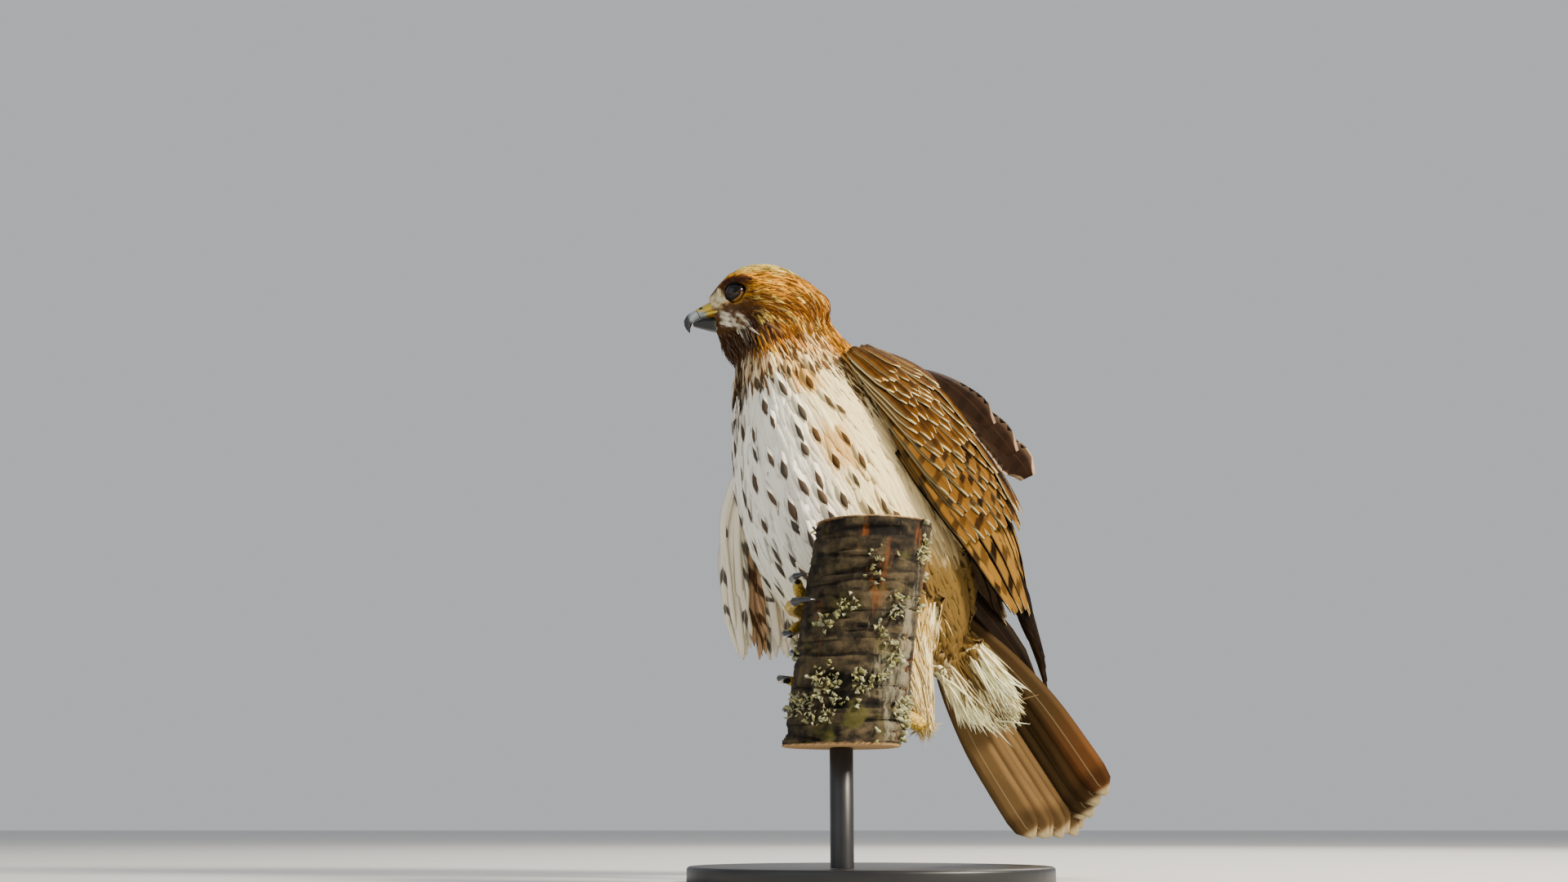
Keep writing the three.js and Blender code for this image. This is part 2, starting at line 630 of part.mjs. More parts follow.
function clawLine(foot, toe) {
  return range(5).map((k) => {
    const u = k / 4;
    const out = mix(toe.radius + 0.8, 1.1, u ** 1.5) + 4.2 * Math.sin(Math.PI * u ** 0.8);
    const arc = toe.reach - 2 * Math.sign(toe.reach) + toe.claw * 0.95 * Math.sin((Math.PI / 2) * u);
    return onTrunk(foot.turn + degreesOf(arc), foot.height + toe.rise * (1 + 0.12 * u), out);
  });
}

for (const foot of feet) {
  const pad = onTrunk(foot.turn, foot.height, 8.6);
  const digits = join(toes.map((toe) => digit(foot, toe, 0)));
  const digitsRoom = join(toes.map((toe) => digit(foot, toe, ROOM)));
  const whole = join([digits, ball(pad, 7.8, 8, 6)]);
  const legWay = foot.ankle.clone().sub(pad).normalize();
  const cut = { place: pad.clone().addScaledVector(legWay, 9), way: legWay };
  const shank = (grow) => tube(
    [pad, foot.ankle],
    [6, TARSUS_RADIUS, TARSUS_RADIUS, 7].map((r) => r + grow), 10, 3, { ends: grow },
  );
  addNode(`foot_${foot.side}`, join([whole, between(shank(0), null, cut)]).subtract(perchRoom), 'skin');
  foot.digitsRoom = digitsRoom;
  foot.cut = cut;
  foot.leg = shank(0);
  foot.legRoom = shank(ROOM);
  for (const toe of toes) {
    const claw = tube(clawLine(foot, toe), [3.3, 3.1, 2.4, 1.5, 0.35], 6, 4);
    addNode(`claw_${foot.side}_${toe.name}`, claw.subtract(perchRoom).subtract(digitsRoom), 'horn');
  }
}

// Thighs: locks down a core, from the belly to the ankles.
const thighReach = [40, 40, 27, 13];
function thigh(foot) {
  const sign = foot.side === 'left' ? 1 : -1;
  const [hip, knee] = [inBody(-16, sign * 34, -30), inBody(-14, sign * 36, -76)];
  const curve = new THREE.CatmullRomCurve3([hip, knee, foot.ankle]);
  const onThigh = (u, turn, grow) => {
    const ahead = curve.getTangent(clamp(u, 0, 1));
    const across = body.left.clone().cross(ahead).normalize();
    const rise = ahead.clone().cross(across).normalize();
    const reach = along(thighReach, u) + grow;
    return curve.getPoint(clamp(u, 0, 1))
      .addScaledVector(across, reach * Math.cos(rad(turn)))
      .addScaledVector(rise, reach * Math.sin(rad(turn)));
  };
  const core = loft(range(6).map((k) => range(10).map((i) => onThigh(k / 5, 36 * i, -3.5))));
  const locks = [0.45, 0.68].flatMap((u, row) => range(5 - row).map((k) => {
    const turn = (360 * (k + 0.5 * row)) / (5 - row) + 5 * draw();
    const fall = 0.36 + 0.04 * draw();
    const tip = onThigh(u + fall, turn, -0.5).addScaledVector(curve.getTangent(1), 9 * row + 3 * draw());
    const [root, middle] = [onThigh(u, turn, -9), onThigh(u + 0.4 * fall, turn, -2.6)];
    const points = [root, middle, onThigh(u + 0.8 * fall, turn, -1), tip];
    return lock(points, 13.5 - 2.5 * row, onThigh(u, turn, 1).sub(onThigh(u, turn, 0)));
  }));
  const side = halfSpace(inBody(0, sign * 0.4, 0), body.left.clone().multiplyScalar(sign));
  return join([core.intersect(side), ...locks]).subtract(foot.legRoom).subtract(torsoRoom);
}

for (const foot of feet) {
  addNode(`thigh_${foot.side}`, thigh(foot).subtract(undertailRoom), 'plumage');
  addNode(`tarsus_${foot.side}`, between(foot.leg, foot.cut, null).subtract(foot.digitsRoom), 'skin');
}

// Stand: a flat base and one rod up into the trunk's cut end.
const rodFoot = vec(trunkX(trunk.bottom), trunk.axisY, 0);
const base = new THREE.LatheGeometry([
  new THREE.Vector2(0, 0),
  new THREE.Vector2(BASE_RADIUS - 1, 0),
  new THREE.Vector2(BASE_RADIUS, 1),
  new THREE.Vector2(BASE_RADIUS, BASE_HEIGHT - 2),
  new THREE.Vector2(BASE_RADIUS - 2, BASE_HEIGHT),
  new THREE.Vector2(0, BASE_HEIGHT),
], 32).rotateX(Math.PI / 2);
addNode('stand_base', solidFrom(base), 'stand');
const rodHeight = trunk.bottom - BASE_HEIGHT - 2 * GAP;
const rod = new THREE.CylinderGeometry(ROD_RADIUS, ROD_RADIUS, rodHeight, 24).rotateX(Math.PI / 2);
rod.translate(rodFoot.x, rodFoot.y, BASE_HEIGHT + GAP + rodHeight / 2);
addNode('stand_rod', solidFrom(rod), 'stand');

export default object;
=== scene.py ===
import math

import bmesh
import bpy
import numpy as np
from mathutils import Matrix, Vector
from mathutils.bvhtree import BVHTree


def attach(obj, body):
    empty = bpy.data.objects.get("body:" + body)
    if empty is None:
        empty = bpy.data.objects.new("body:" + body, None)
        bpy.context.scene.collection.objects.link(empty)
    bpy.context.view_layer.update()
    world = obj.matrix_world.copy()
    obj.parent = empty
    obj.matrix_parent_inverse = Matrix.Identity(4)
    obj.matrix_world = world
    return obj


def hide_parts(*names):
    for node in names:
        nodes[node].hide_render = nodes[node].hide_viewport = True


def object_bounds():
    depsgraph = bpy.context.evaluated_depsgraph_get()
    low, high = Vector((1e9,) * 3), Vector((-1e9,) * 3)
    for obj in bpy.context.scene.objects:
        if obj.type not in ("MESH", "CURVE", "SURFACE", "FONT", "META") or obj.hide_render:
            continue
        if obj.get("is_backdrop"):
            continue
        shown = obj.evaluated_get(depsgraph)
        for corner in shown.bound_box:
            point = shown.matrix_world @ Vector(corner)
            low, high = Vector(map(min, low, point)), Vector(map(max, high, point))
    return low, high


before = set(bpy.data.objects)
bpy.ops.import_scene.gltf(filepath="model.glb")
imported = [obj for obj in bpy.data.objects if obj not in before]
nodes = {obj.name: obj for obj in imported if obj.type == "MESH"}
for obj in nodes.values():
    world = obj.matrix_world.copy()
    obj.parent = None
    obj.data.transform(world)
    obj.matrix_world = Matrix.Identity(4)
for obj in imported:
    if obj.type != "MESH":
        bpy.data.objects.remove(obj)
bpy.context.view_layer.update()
mm = 0.001  # the hawk is laid out in millimetres, its meshes are in metres
draws = np.random.default_rng(11)


def inScene(name, data):
    thing = bpy.data.objects.new(name, data)
    bpy.context.scene.collection.objects.link(thing)
    return thing


# camera and lights
shot = {"place": (-0.062, -1.215, 0.038), "pitch": 13.36, "lens": 37.5, "sensor": 36}
camera = inScene("camera", bpy.data.cameras.new("camera"))
camera.location = shot["place"]
camera.rotation_euler = (math.radians(90 + shot["pitch"]), 0, 0)
camera.data.lens = shot["lens"]
camera.data.sensor_width = shot["sensor"]
bpy.context.scene.camera = camera

studio = {
    "key": {"place": (2.1, -1.1, 1.6), "size": 0.6, "watts": 215, "colour": (1.0, 0.90, 0.74)},
    "fill": {"place": (-2.0, -1.6, 0.9), "size": 2.2, "watts": 13, "colour": (0.80, 0.89, 1.0)},
    "back": {"place": (0.9, 1.8, 1.6), "size": 1.2, "watts": 40, "colour": (1.0, 0.93, 0.82)},
}
lightsAim = Vector((0, 0.03, 0.28))
for name, lamp in studio.items():
    light = inScene(name, bpy.data.lights.new(name, "AREA"))
    light.data.size = lamp["size"]
    light.data.energy = lamp["watts"]
    light.data.color = lamp["colour"]
    light.location = lamp["place"]
    light.rotation_euler = (lightsAim - light.location).to_track_quat("-Z", "Y").to_euler()

sky = {"colour": (0.84, 0.86, 0.90, 1), "strength": 0.6}
world = bpy.data.worlds.new("studio")
world.use_nodes = True
world.node_tree.nodes["Background"].inputs["Color"].default_value = sky["colour"]
world.node_tree.nodes["Background"].inputs["Strength"].default_value = sky["strength"]
bpy.context.scene.world = world


# shader maths as expressions
class Wire:
    def __init__(self, finish, socket):
        self.finish = finish
        self.socket = socket

    def maths(self, operation, *values):
        return self.finish.add("Math", {"operation": operation}, dict(enumerate(values)))

    def __add__(self, other):
        return self.maths("ADD", self, other)

    def __sub__(self, other):
        return self.maths("SUBTRACT", self, other)

    def __rsub__(self, other):
        return self.maths("SUBTRACT", other, self)

    def __mul__(self, other):
        return self.maths("MULTIPLY", self, other)

    __radd__ = __add__
    __rmul__ = __mul__

    def __pow__(self, other):
        return self.maths("POWER", self, other)

    def __abs__(self):
        return self.maths("ABSOLUTE", self)

    def sine(self):
        return self.maths("SINE", self)

    def most(self, other):
        return self.maths("MAXIMUM", self, other)

    def between(self, low, high):  # 0 below low, 1 above high, or the other way round
        ends = {"From Min": low, "From Max": high, "To Min": 0.0, "To Max": 1.0}
        return self.finish.add("MapRange", {"interpolation_type": "SMOOTHSTEP"}, {"Value": self, **ends})


class Finish:
    def __init__(self, name, roughness=0.6, metallic=0.0, **constants):
        self.material = bpy.data.materials.new(name)
        self.material.use_nodes = True
        self.tree = self.material.node_tree
        self.shader = self.tree.nodes["Principled BSDF"]
        self.shader.inputs["Roughness"].default_value = roughness
        self.shader.inputs["Metallic"].default_value = metallic
        for socket, value in constants.items():
            self.shader.inputs[socket.replace("_", " ")].default_value = value

    def put(self, target, value):
        if isinstance(value, Wire):
            self.tree.links.new(value.socket, target)
        else:
            target.default_value = value

    def add(self, kind, settings=None, inputs=None, output=0):
        node = self.tree.nodes.new("ShaderNode" + kind)
        for key, value in (settings or {}).items():
            setattr(node, key, value)
        for key, value in (inputs or {}).items():
            self.put(node.inputs[key], value)
        return Wire(self, node.outputs[output])

    def attribute(self, name, output="Color"):
        return self.add("Attribute", {"attribute_name": name}, output=output)

    def parts(self, vector):
        node = self.add("SeparateXYZ", None, {"Vector": vector}).socket.node
        return [Wire(self, node.outputs[k]) for k in range(3)]

    def blend(self, amount, start, end, kind="MIX"):  # the Mix node's colour sockets are 6, 7 and 2
        start, end = (value if isinstance(value, Wire) else (*linear(value), 1) for value in (start, end))
        return self.add("Mix", {"data_type": "RGBA", "blend_type": kind}, {0: amount, 6: start, 7: end}, 2)

    def place(self):
        return self.add("TexCoord", output="Object")

    def vane(self):  # across and along a feather, each from 0 to 1
        return self.parts(self.add("UVMap", {"uv_map": "vane"}))[:2]

    def noise(self, scale, detail=3.0, rough=0.5, vector=None):
        return self.add("TexNoise", None, {"Vector": vector or self.place(), "Scale": scale, "Detail": detail,
                                           "Roughness": rough})

    def bump(self, height, strength, distance):
        normal = self.add("Bump", None, {"Height": height, "Strength": strength, "Distance": distance})
        self.put(self.shader.inputs["Normal"], normal)

    def colour(self, value):
        self.put(self.shader.inputs["Base Color"], value)

    def rough(self, value):
        self.put(self.shader.inputs["Roughness"], value)


def linear(colour):
    return tuple(c / 12.92 if c <= 0.04045 else ((c + 0.055) / 1.055) ** 2.4 for c in colour)


# the hawk's own directions and lines, in millimetres, as its solids have them
def unit(v):
    return v / np.maximum(np.linalg.norm(v, axis=-1, keepdims=True), 1e-9)


def along(stops, u):  # a value on a smooth line through evenly spaced stops
    stops = np.asarray(stops, float)
    x = np.clip(u, 0, 1) * (len(stops) - 1)
    i = np.minimum(np.floor(x).astype(int), len(stops) - 2)
    t = x - i
    t = t[..., None] if stops.ndim > 1 else t
    a, b, c, d = (stops[np.clip(i + k, 0, len(stops) - 1)] for k in (-1, 0, 1, 2))
    bend, twist = 2 * a - 5 * b + 4 * c - d, 3 * b - a - 3 * c + d
    return 0.5 * (2 * b + (c - a) * t + bend * t ** 2 + twist * t ** 3)


def ramp(x, low, high):  # smooth step from 0 at low to 1 at high
    t = np.clip((x - low) / (high - low), 0, 1)
    return t * t * (3 - 2 * t)


def mix(a, b, t):
    return a + (b - a) * t


def dots(a, b):  # each row's product with its own direction
    return np.einsum("...k,...k->...", a, b)


def circle(corners):
    return np.linspace(0, 2 * math.pi, corners, endpoint=False)


def facing(turn):
    s, c = math.sin(math.radians(turn)), math.cos(math.radians(turn))
    return np.array((-s, -c, 0.0)), np.array((c, -s, 0.0))


def spread(*parts):  # a point from (origin, then value and direction in turn), over arrays
    origin, *rest = parts
    total = np.asarray(origin, float)
    for value, direction in zip(rest[::2], rest[1::2]):
        total = total + np.asarray(value, float)[..., None] * direction
    return total


upward = np.array((0.0, 0.0, 1.0))
bodyAhead, bodyLeft = facing(58)
bodyMiddle = np.array((-8.0, 52.0, 271.0))
headAhead, headLeft = facing(88)
headMiddle = np.array((-71.0, 16.0, 441.0))


def inBody(ahead, left, up):
    return spread(bodyMiddle, ahead, bodyAhead, left, bodyLeft, up, upward)


def inHead(ahead, left, up):
    return spread(headMiddle, ahead, headAhead, left, headLeft, up, upward)


eyes = {"place": (28.8, 16, 4), "ahead": 0.36, "radius": 9.0, "lid": 1.1,
        "opening": [(8.1, 2.4), (7.3, -2.6), (3.2, -6.5), (-1.6, -6.0), (-6.0, -1.6), (-8.3, 3.0),
                    (-5.0, 5.2), (0, 5.8), (5.0, 4.9)]}
eyeMiddles = [inHead(eyes["place"][0], side * eyes["place"][1], eyes["place"][2]) for side in (1, -1)]
eyeGazes = [unit(side * headLeft + eyes["ahead"] * headAhead) for side in (1, -1)]


def openingAt(ahead, up):  # how far the eye's opening reaches that way from its middle
    corners = np.array(eyes["opening"])
    bearings = np.degrees(np.arctan2(corners[:, 1], corners[:, 0]))
    return np.interp(np.degrees(np.arctan2(up, ahead)), bearings, np.hypot(*corners.T), period=360)


spine = {
    "forward": [74, 66, 50, 28, 4, -22, -50, -76, -92],
    "up": [172, 138, 100, 60, 18, -24, -60, -84, -96],
    "width": [27, 36, 52, 66, 71, 70, 60, 42, 20],
    "belly": [28, 39, 60, 82, 93, 90, 72, 42, 16],
    "back": [32, 50, 68, 80, 84, 80, 64, 38, 14],
}
shell = {  # what the folded wings lie on
    "forward": [50, 26, -2, -32, -66, -104, -146, -184],
    "up": [118, 76, 30, -16, -58, -96, -127, -160],
    "width": [54, 74, 83, 84, 75, 56, 36, 16],
    "belly": [58, 76, 84, 84, 75, 56, 36, 16],
    "back": [62, 98, 112, 118, 112, 86, 54, 22],
}
fullness = 2.25  # 2 makes a body's section an ellipse, more makes it squarer


def middleOf(line, u):
    return inBody(along(line["forward"], u), np.zeros_like(u), along(line["up"], u))


def downLine(line, u):
    return unit(middleOf(line, np.clip(u + 0.01, 0, 1)) - middleOf(line, np.clip(u - 0.01, 0, 1)))


def onBody(line, u, turn, height):  # a place so far down a line, turned from the back and off the surface
    u = np.asarray(u, float)
    turn = np.radians(turn)
    back = unit(np.cross(bodyLeft, downLine(line, u)))
    c, s = np.cos(turn), np.sin(turn)
    depth = np.where(c > 0, along(line["back"], u), along(line["belly"], u))
    width = along(line["width"], u)
    reach = (np.abs(c / depth) ** fullness + np.abs(s / width) ** fullness) ** (-1 / fullness)
    return spread(middleOf(line, u), c * (reach + height), back, s * (reach + height), bodyLeft)


tailTurn, tailLean, tailRoll = (math.radians(v) for v in (51, 43.5, 50))
tailWay = np.array((math.sin(tailLean) * math.sin(tailTurn), math.sin(tailLean) * math.cos(tailTurn),
                    -math.cos(tailLean)))
levelLeft = Vector((math.cos(tailTurn), -math.sin(tailTurn), 0))
tailLeft = np.array(Matrix.Rotation(-tailRoll, 3, Vector(tailWay)) @ levelLeft)
tailUp = np.cross(tailLeft, tailWay)
tailRoot = inBody(-83, 2, -68)


def inTail(down, left, up):
    return spread(tailRoot, down, tailWay, left, tailLeft, up, tailUp)


def grain(points, size, seed=0.0):  # smooth noise from 0 to 1 over places in millimetres
    q = points / size + seed
    cell = np.floor(q)
    f = q - cell
    f = f * f * (3 - 2 * f)
    total = 0
    for corner in np.ndindex(2, 2, 2):
        weight = np.prod([f[..., k] if corner[k] else 1 - f[..., k] for k in range(3)], axis=0)
        spot = (cell + np.array(corner)) @ np.array((12.9898, 78.233, 37.719))
        total = total + weight * (np.sin(spot) * 43758.5453 % 1.0)
    return total


# meshes
def newPiece(name, mesh, finish, slot, *replaced):
    piece = inScene(name, mesh)
    mesh.materials.clear()
    mesh.materials.append(finish.material)
    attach(piece, "root")
    if replaced:
        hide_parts(*replaced)


def meshOf(bm, name):
    mesh = bpy.data.meshes.new(name)
    bm.to_mesh(mesh)
    bm.free()
    mesh.shade_smooth()
    return mesh


def paint(mesh, name, values):  # one colour for each vertex, four numbers each
    layer = mesh.attributes.new(name, "FLOAT_COLOR", "POINT")
    layer.data.foreach_set("color", np.ascontiguousarray(values, np.float32).ravel())


def coords(mesh):
    co = np.empty(len(mesh.vertices) * 3, np.float32)
    mesh.vertices.foreach_get("co", co)
    return co.reshape(-1, 3).astype(float) / mm


def setCoords(mesh, points):
    mesh.vertices.foreach_set("co", (points * mm).astype(np.float32).ravel())
    mesh.update()


def normals(mesh):
    out = np.empty(len(mesh.vertices) * 3, np.float32)
    mesh.vertex_normals.foreach_get("vector", out)
    return out.reshape(-1, 3).astype(float)


def remeshed(name, sources, voxel, rounds, added=()):  # CAD nodes and closed forms, fused and smoothed
    bm = bmesh.new()
    for source in sources:
        bm.from_mesh(nodes[source].data)
    bmesh.ops.remove_doubles(bm, verts=bm.verts, dist=1e-6)
    for rings in added:
        ringForm(bm, rings)
    rough = inScene(name + "_rough", meshOf(bm, name + "_rough"))
    fuse = rough.modifiers.new("fuse", "REMESH")
    fuse.mode = "VOXEL"
    fuse.voxel_size = voxel * mm
    fused = bpy.data.meshes.new_from_object(rough.evaluated_get(bpy.context.evaluated_depsgraph_get()))
    bpy.data.objects.remove(rough)
    bm = bmesh.new()
    bm.from_mesh(fused)
    for _ in range(rounds):
        bmesh.ops.smooth_vert(bm, verts=bm.verts, factor=0.5, use_axis_x=True, use_axis_y=True,
                              use_axis_z=True)
    return meshOf(bm, name)


def ringForm(bm, rings):  # a closed form through rings of equally many points, by bridging circles
    loops = []
    for ring in rings:
        made = bmesh.ops.create_circle(bm, segments=len(ring), radius=1)["verts"]
        for vert, point in zip(made, ring):
            vert.co = Vector(point * mm)
        loops.append(list({edge for vert in made for edge in vert.link_edges}))
    for first, second in zip(loops, loops[1:]):
        bmesh.ops.bridge_loops(bm, edges=first + second)
    for loop in (loops[0], loops[-1]):
        bmesh.ops.contextual_create(bm, geom=loop)
    bmesh.ops.recalc_face_normals(bm, faces=bm.faces)


# A vane is a closed thin blade. Its section is a lens: columns over the top, and back below.
def vanes(name, path, across, out, half, thick, cup, cells, looks, columns=3, slope=0.0):
    count, stations = path.shape[:2]
    top = np.linspace(-1, 1, columns)
    around = np.concatenate([top, top[-2:0:-1]])
    face = np.concatenate([np.ones(columns), -np.ones(columns - 2)])
    face[[0, columns - 1]] = 0
    wide = half[..., None]
    rise = -cup * wide * around ** 2 + thick * face * (1 - around ** 2) * np.minimum(1, wide / 1.2)
    rise = rise + slope * (around - 1) * wide
    points = spread(path[:, :, None], wide * around, across[:, :, None], rise, out[:, :, None])
    ring = len(around)
    ids = np.arange(count * stations * ring).reshape(count, stations, ring)
    turned = np.roll(ids, -1, axis=2)
    sides = np.stack([ids[:, :-1], turned[:, :-1], turned[:, 1:], ids[:, 1:]], axis=-1).reshape(-1, 4)
    caps = []
    for k in range(columns - 1):
        low, high = ids[:, :, k], ids[:, :, k + 1]
        lowUnder, highUnder = ids[:, :, (ring - k) % ring], ids[:, :, (ring - k - 1) % ring]
        faces = [(low, high, lowUnder)] if k == columns - 2 else [(low, high, highUnder)]
        if 0 < k < columns - 2:
            faces.append((low, highUnder, lowUnder))
        for corners in faces:
            caps.append(np.stack([c[:, -1] for c in corners], axis=-1))
        for corners in faces:
            caps.append(np.stack([c[:, 0] for c in corners[::-1]], axis=-1))
    caps = np.concatenate(caps)
    mesh = bpy.data.meshes.new(name)
    mesh.vertices.add(points.size // 3)
    mesh.vertices.foreach_set("co", (points * mm).astype(np.float32).ravel())
    loops = np.concatenate([sides.ravel(), caps.ravel()]).astype(np.int32)
    mesh.loops.add(len(loops))
    mesh.loops.foreach_set("vertex_index", loops)
    starts = np.concatenate([np.arange(len(sides)) * 4, sides.size + np.arange(len(caps)) * 3])
    starts = starts.astype(np.int32)
    mesh.polygons.add(len(starts))
    mesh.polygons.foreach_set("loop_start", starts)
    mesh.update(calc_edges=True)
    mesh.shade_smooth()
    u, v = np.broadcast_arrays(around * 0.5 + 0.5, np.linspace(0, 1, stations)[None, :, None], ids)[:2]
    local = np.stack([u, v], axis=-1)
    corner, size = cells
    spot = corner[:, None, None] + size * (local if np.ndim(size) else local - 0.5)
    for layer, places in (("vane", local), ("OFBake", spot)):
        flat = places.reshape(-1, 2)[loops].astype(np.float32).ravel()
        mesh.uv_layers.new(name=layer).data.foreach_set("uv", flat)
    for key, values in looks.items():  # values are one colour a vane, or one a station
        values = values[:, None, None] if values.ndim == 2 else values[:, :, None]
        paint(mesh, key, np.broadcast_to(values, (count, stations, ring, 4)))
    paint(mesh, "side", np.broadcast_to((face * 0.5 + 0.5)[:, None], (count, stations, ring, 4)))
    return mesh


def gridCells(count):  # each vane its own cell on a square sheet
    across = math.ceil(math.sqrt(count))
    k = np.arange(count)
    corner = np.stack([(k % across + 0.04) / across, (k // across + 0.04) / across], axis=-1)
    return corner, np.array((0.92 / across, 0.92 / across))


def rgba(colour, count):
    return np.tile([*linear(colour), 1.0], (count, 1))


print("set out: camera, lights, directions")


# skin: one body under the whole coat
legs = {
    "right": {"sign": -1, "ankle": np.array((-22.0, 30.0, 150.0))},
    "left": {"sign": 1, "ankle": np.array((42.0, 12.0, 112.0))},
}
thigh = {"hip": (-16, 34, -30), "knee": (-14, 36, -76), "reach": [40, 40, 27, 13], "skinInside": 6,
         "from": 15}
undertail = {"stops": [(2, -3, -18), (36, -5, -25), (68, -4, -22), (92, -2, -16)],
             "reach": [20, 30, 25, 12], "lobes": 0.22, "flat": 0.55, "skinInside": 5, "from": 8}


def curveOf(stops):
    u = np.linspace(0, 1, 41)
    points = along(np.array(stops), u)
    return {"points": points, "ways": unit(np.gradient(points, axis=0))}


for leg in legs.values():
    hip, knee = (inBody(ahead, leg["sign"] * left, up) for ahead, left, up in (thigh["hip"], thigh["knee"]))
    leg["curve"] = curveOf([hip, knee, leg["ankle"]])
undertail["curve"] = curveOf([inTail(*stop) for stop in undertail["stops"]])


def thighRings(leg):
    rings, turn = [], circle(16)
    for k in range(0, 41, 4):
        ahead = leg["curve"]["ways"][k]
        side = unit(np.cross(bodyLeft, ahead))
        rise = unit(np.cross(ahead, side))
        reach = float(along(thigh["reach"], k / 40)) - thigh["skinInside"]
        middle = leg["curve"]["points"][k]
        rings.append(spread(middle, reach * np.cos(turn), side, reach * np.sin(turn), rise))
    return rings


def undertailRings():
    rings, turn = [], circle(16)
    lobes = 1 - undertail["lobes"] * np.cos(4 * turn)
    for k in range(0, 37, 4):
        reach = float(along(undertail["reach"], k / 40)) * lobes - undertail["skinInside"]
        rings.append(spread(undertail["curve"]["points"][k], reach * np.sin(turn), tailLeft,
                            -undertail["flat"] * reach * np.cos(turn), tailUp))
    return rings


wing = {
    "inner": [14, 5, 2, 1.5, 1.5, 2, 5, 12],
    "lower": [62, 84, 86, 86, 80, 66, 44, 22],
    "core": 0.5, "sunk": (5.5, 13.5), "thick": 9,
}


def wingRings(side):  # a flat form under the wing's feathers
    rings = []
    for u in np.linspace(0.01, wing["core"], 9):
        turn = side * np.linspace(along(wing["inner"], u) + 3, along(wing["lower"], u) - 7, 10)
        sunk = mix(*wing["sunk"], min(u / 0.2, 1))
        outer, inner = (onBody(shell, np.full(10, u), turn, np.full(10, -depth))
                        for depth in (sunk, sunk + wing["thick"]))
        rings.append(np.concatenate([outer, inner[::-1]]))
    return rings


brows = {"line": [(8, 25, 11), (20, 23.5, 14), (31, 20.5, 13.6), (45, 12, 8.5)],
         "reach": [2.0, 6.4, 7.4, 3.4], "rings": 9, "corners": 10, "flat": 0.8}


def headRings(form, side):  # a thin form along a line on the head
    rings, turn = [], circle(form["corners"])
    for t in np.linspace(0, 1, form["rings"]):
        ahead, left, up = along(form["line"], t)
        reach = along(form["reach"], t)
        rings.append(spread(inHead(ahead, side * left, up), reach * np.cos(turn), headLeft,
                            form["flat"] * reach * np.sin(turn), upward))
    return rings


skinForms = [thighRings(legs["right"]), thighRings(legs["left"]), undertailRings(),
             wingRings(1), wingRings(-1), headRings(brows, 1), headRings(brows, -1)]
skinMesh = remeshed("skin", ["head", "neck", "torso"], 2.3, 3, skinForms)


# where a place is on the hawk, and how its feathers lie there
def nearestOn(curve, points):
    away = points[:, None] - curve["points"][None]
    distance = np.linalg.norm(away, axis=-1)
    k = distance.argmin(axis=1)
    return k, distance[np.arange(len(points)), k]


def placeOn(line, points):  # how far down a line of the body, how far round it, and the way down there
    u = np.linspace(0, 1, 200)
    down = np.interp(bodyMiddle[2] - points[:, 2], -along(line["up"], u), u)
    way = downLine(line, down)
    off = points - middleOf(line, down)
    return down, np.degrees(np.arctan2(off @ bodyLeft, dots(off, unit(np.cross(bodyLeft, way))))), way


neckEnd = {"place": inHead(-12, 0, -30), "way": unit(upward + 0.35 * headAhead)}


def survey(points):
    at = {"thigh": np.zeros(len(points), bool), "thighWay": np.zeros_like(points),
          "thighDown": np.zeros(len(points))}
    fromHead = points - headMiddle
    at["headAhead"], at["headSide"], at["headUp"] = fromHead @ headAhead, fromHead @ headLeft, fromHead[:, 2]
    at["aboveNeck"] = (points - neckEnd["place"]) @ neckEnd["way"]
    at["down"], at["turn"], at["way"] = placeOn(spine, points)
    shellDown, shellTurn, _ = placeOn(shell, points)
    inside = (np.abs(shellTurn) < along(wing["lower"], shellDown) - 9) & (points[:, 2] - bodyMiddle[2] < 106)
    at["underWing"] = inside & (shellDown > 0.02) & (shellDown < 0.9)
    for leg in legs.values():
        k, distance = nearestOn(leg["curve"], points)
        mine = (distance < along(thigh["reach"], k / 40) + 1) & (k > thigh["from"])
        at["thigh"] |= mine
        at["thighWay"][mine] = leg["curve"]["ways"][k[mine]]
        at["thighDown"][mine] = k[mine] / 40
    k, distance = nearestOn(undertail["curve"], points)
    near = distance < along(undertail["reach"], k / 40) + 2
    at["vent"] = near & (k > undertail["from"]) & ~at["thigh"]
    at["ventWay"], at["ventDown"] = undertail["curve"]["ways"][k], k / 40
    off = points - undertail["curve"]["points"][k]
    at["ventTurn"] = np.degrees(np.arctan2(off @ tailLeft, -(off @ tailUp) / undertail["flat"]))
    return at


def lieOf(points, normal, at):  # the way the feathers point, along the surface
    ahead, up = at["headAhead"], at["headUp"]
    drop = 0.12 + 1.5 * ramp(-ahead, 2, 42) + 1.3 * ramp(-up, 4, 30)
    onHead = unit(-headAhead - drop[:, None] * upward)
    blend = ramp(at["aboveNeck"], -14, 10)[:, None]
    way = unit(mix(at["way"], onHead, blend))
    for middle, gaze in zip(eyeMiddles, eyeGazes):  # round the eye they part
        away = points - middle
        away = away - (away @ gaze)[:, None] * gaze
        near = 1.3 * ramp(-np.linalg.norm(away, axis=1), -15, -8.5) * ramp((points - middle) @ gaze, -8, 0)
        way = unit(way + near[:, None] * unit(away))
    way = unit(mix(way, tailWay[None], ramp(at["down"], 0.74, 0.9)[:, None]))
    way = np.where(at["thigh"][:, None], at["thighWay"], way)
    way = np.where(at["vent"][:, None], at["ventWay"], way)
    return unit(way - dots(way, normal)[:, None] * normal)


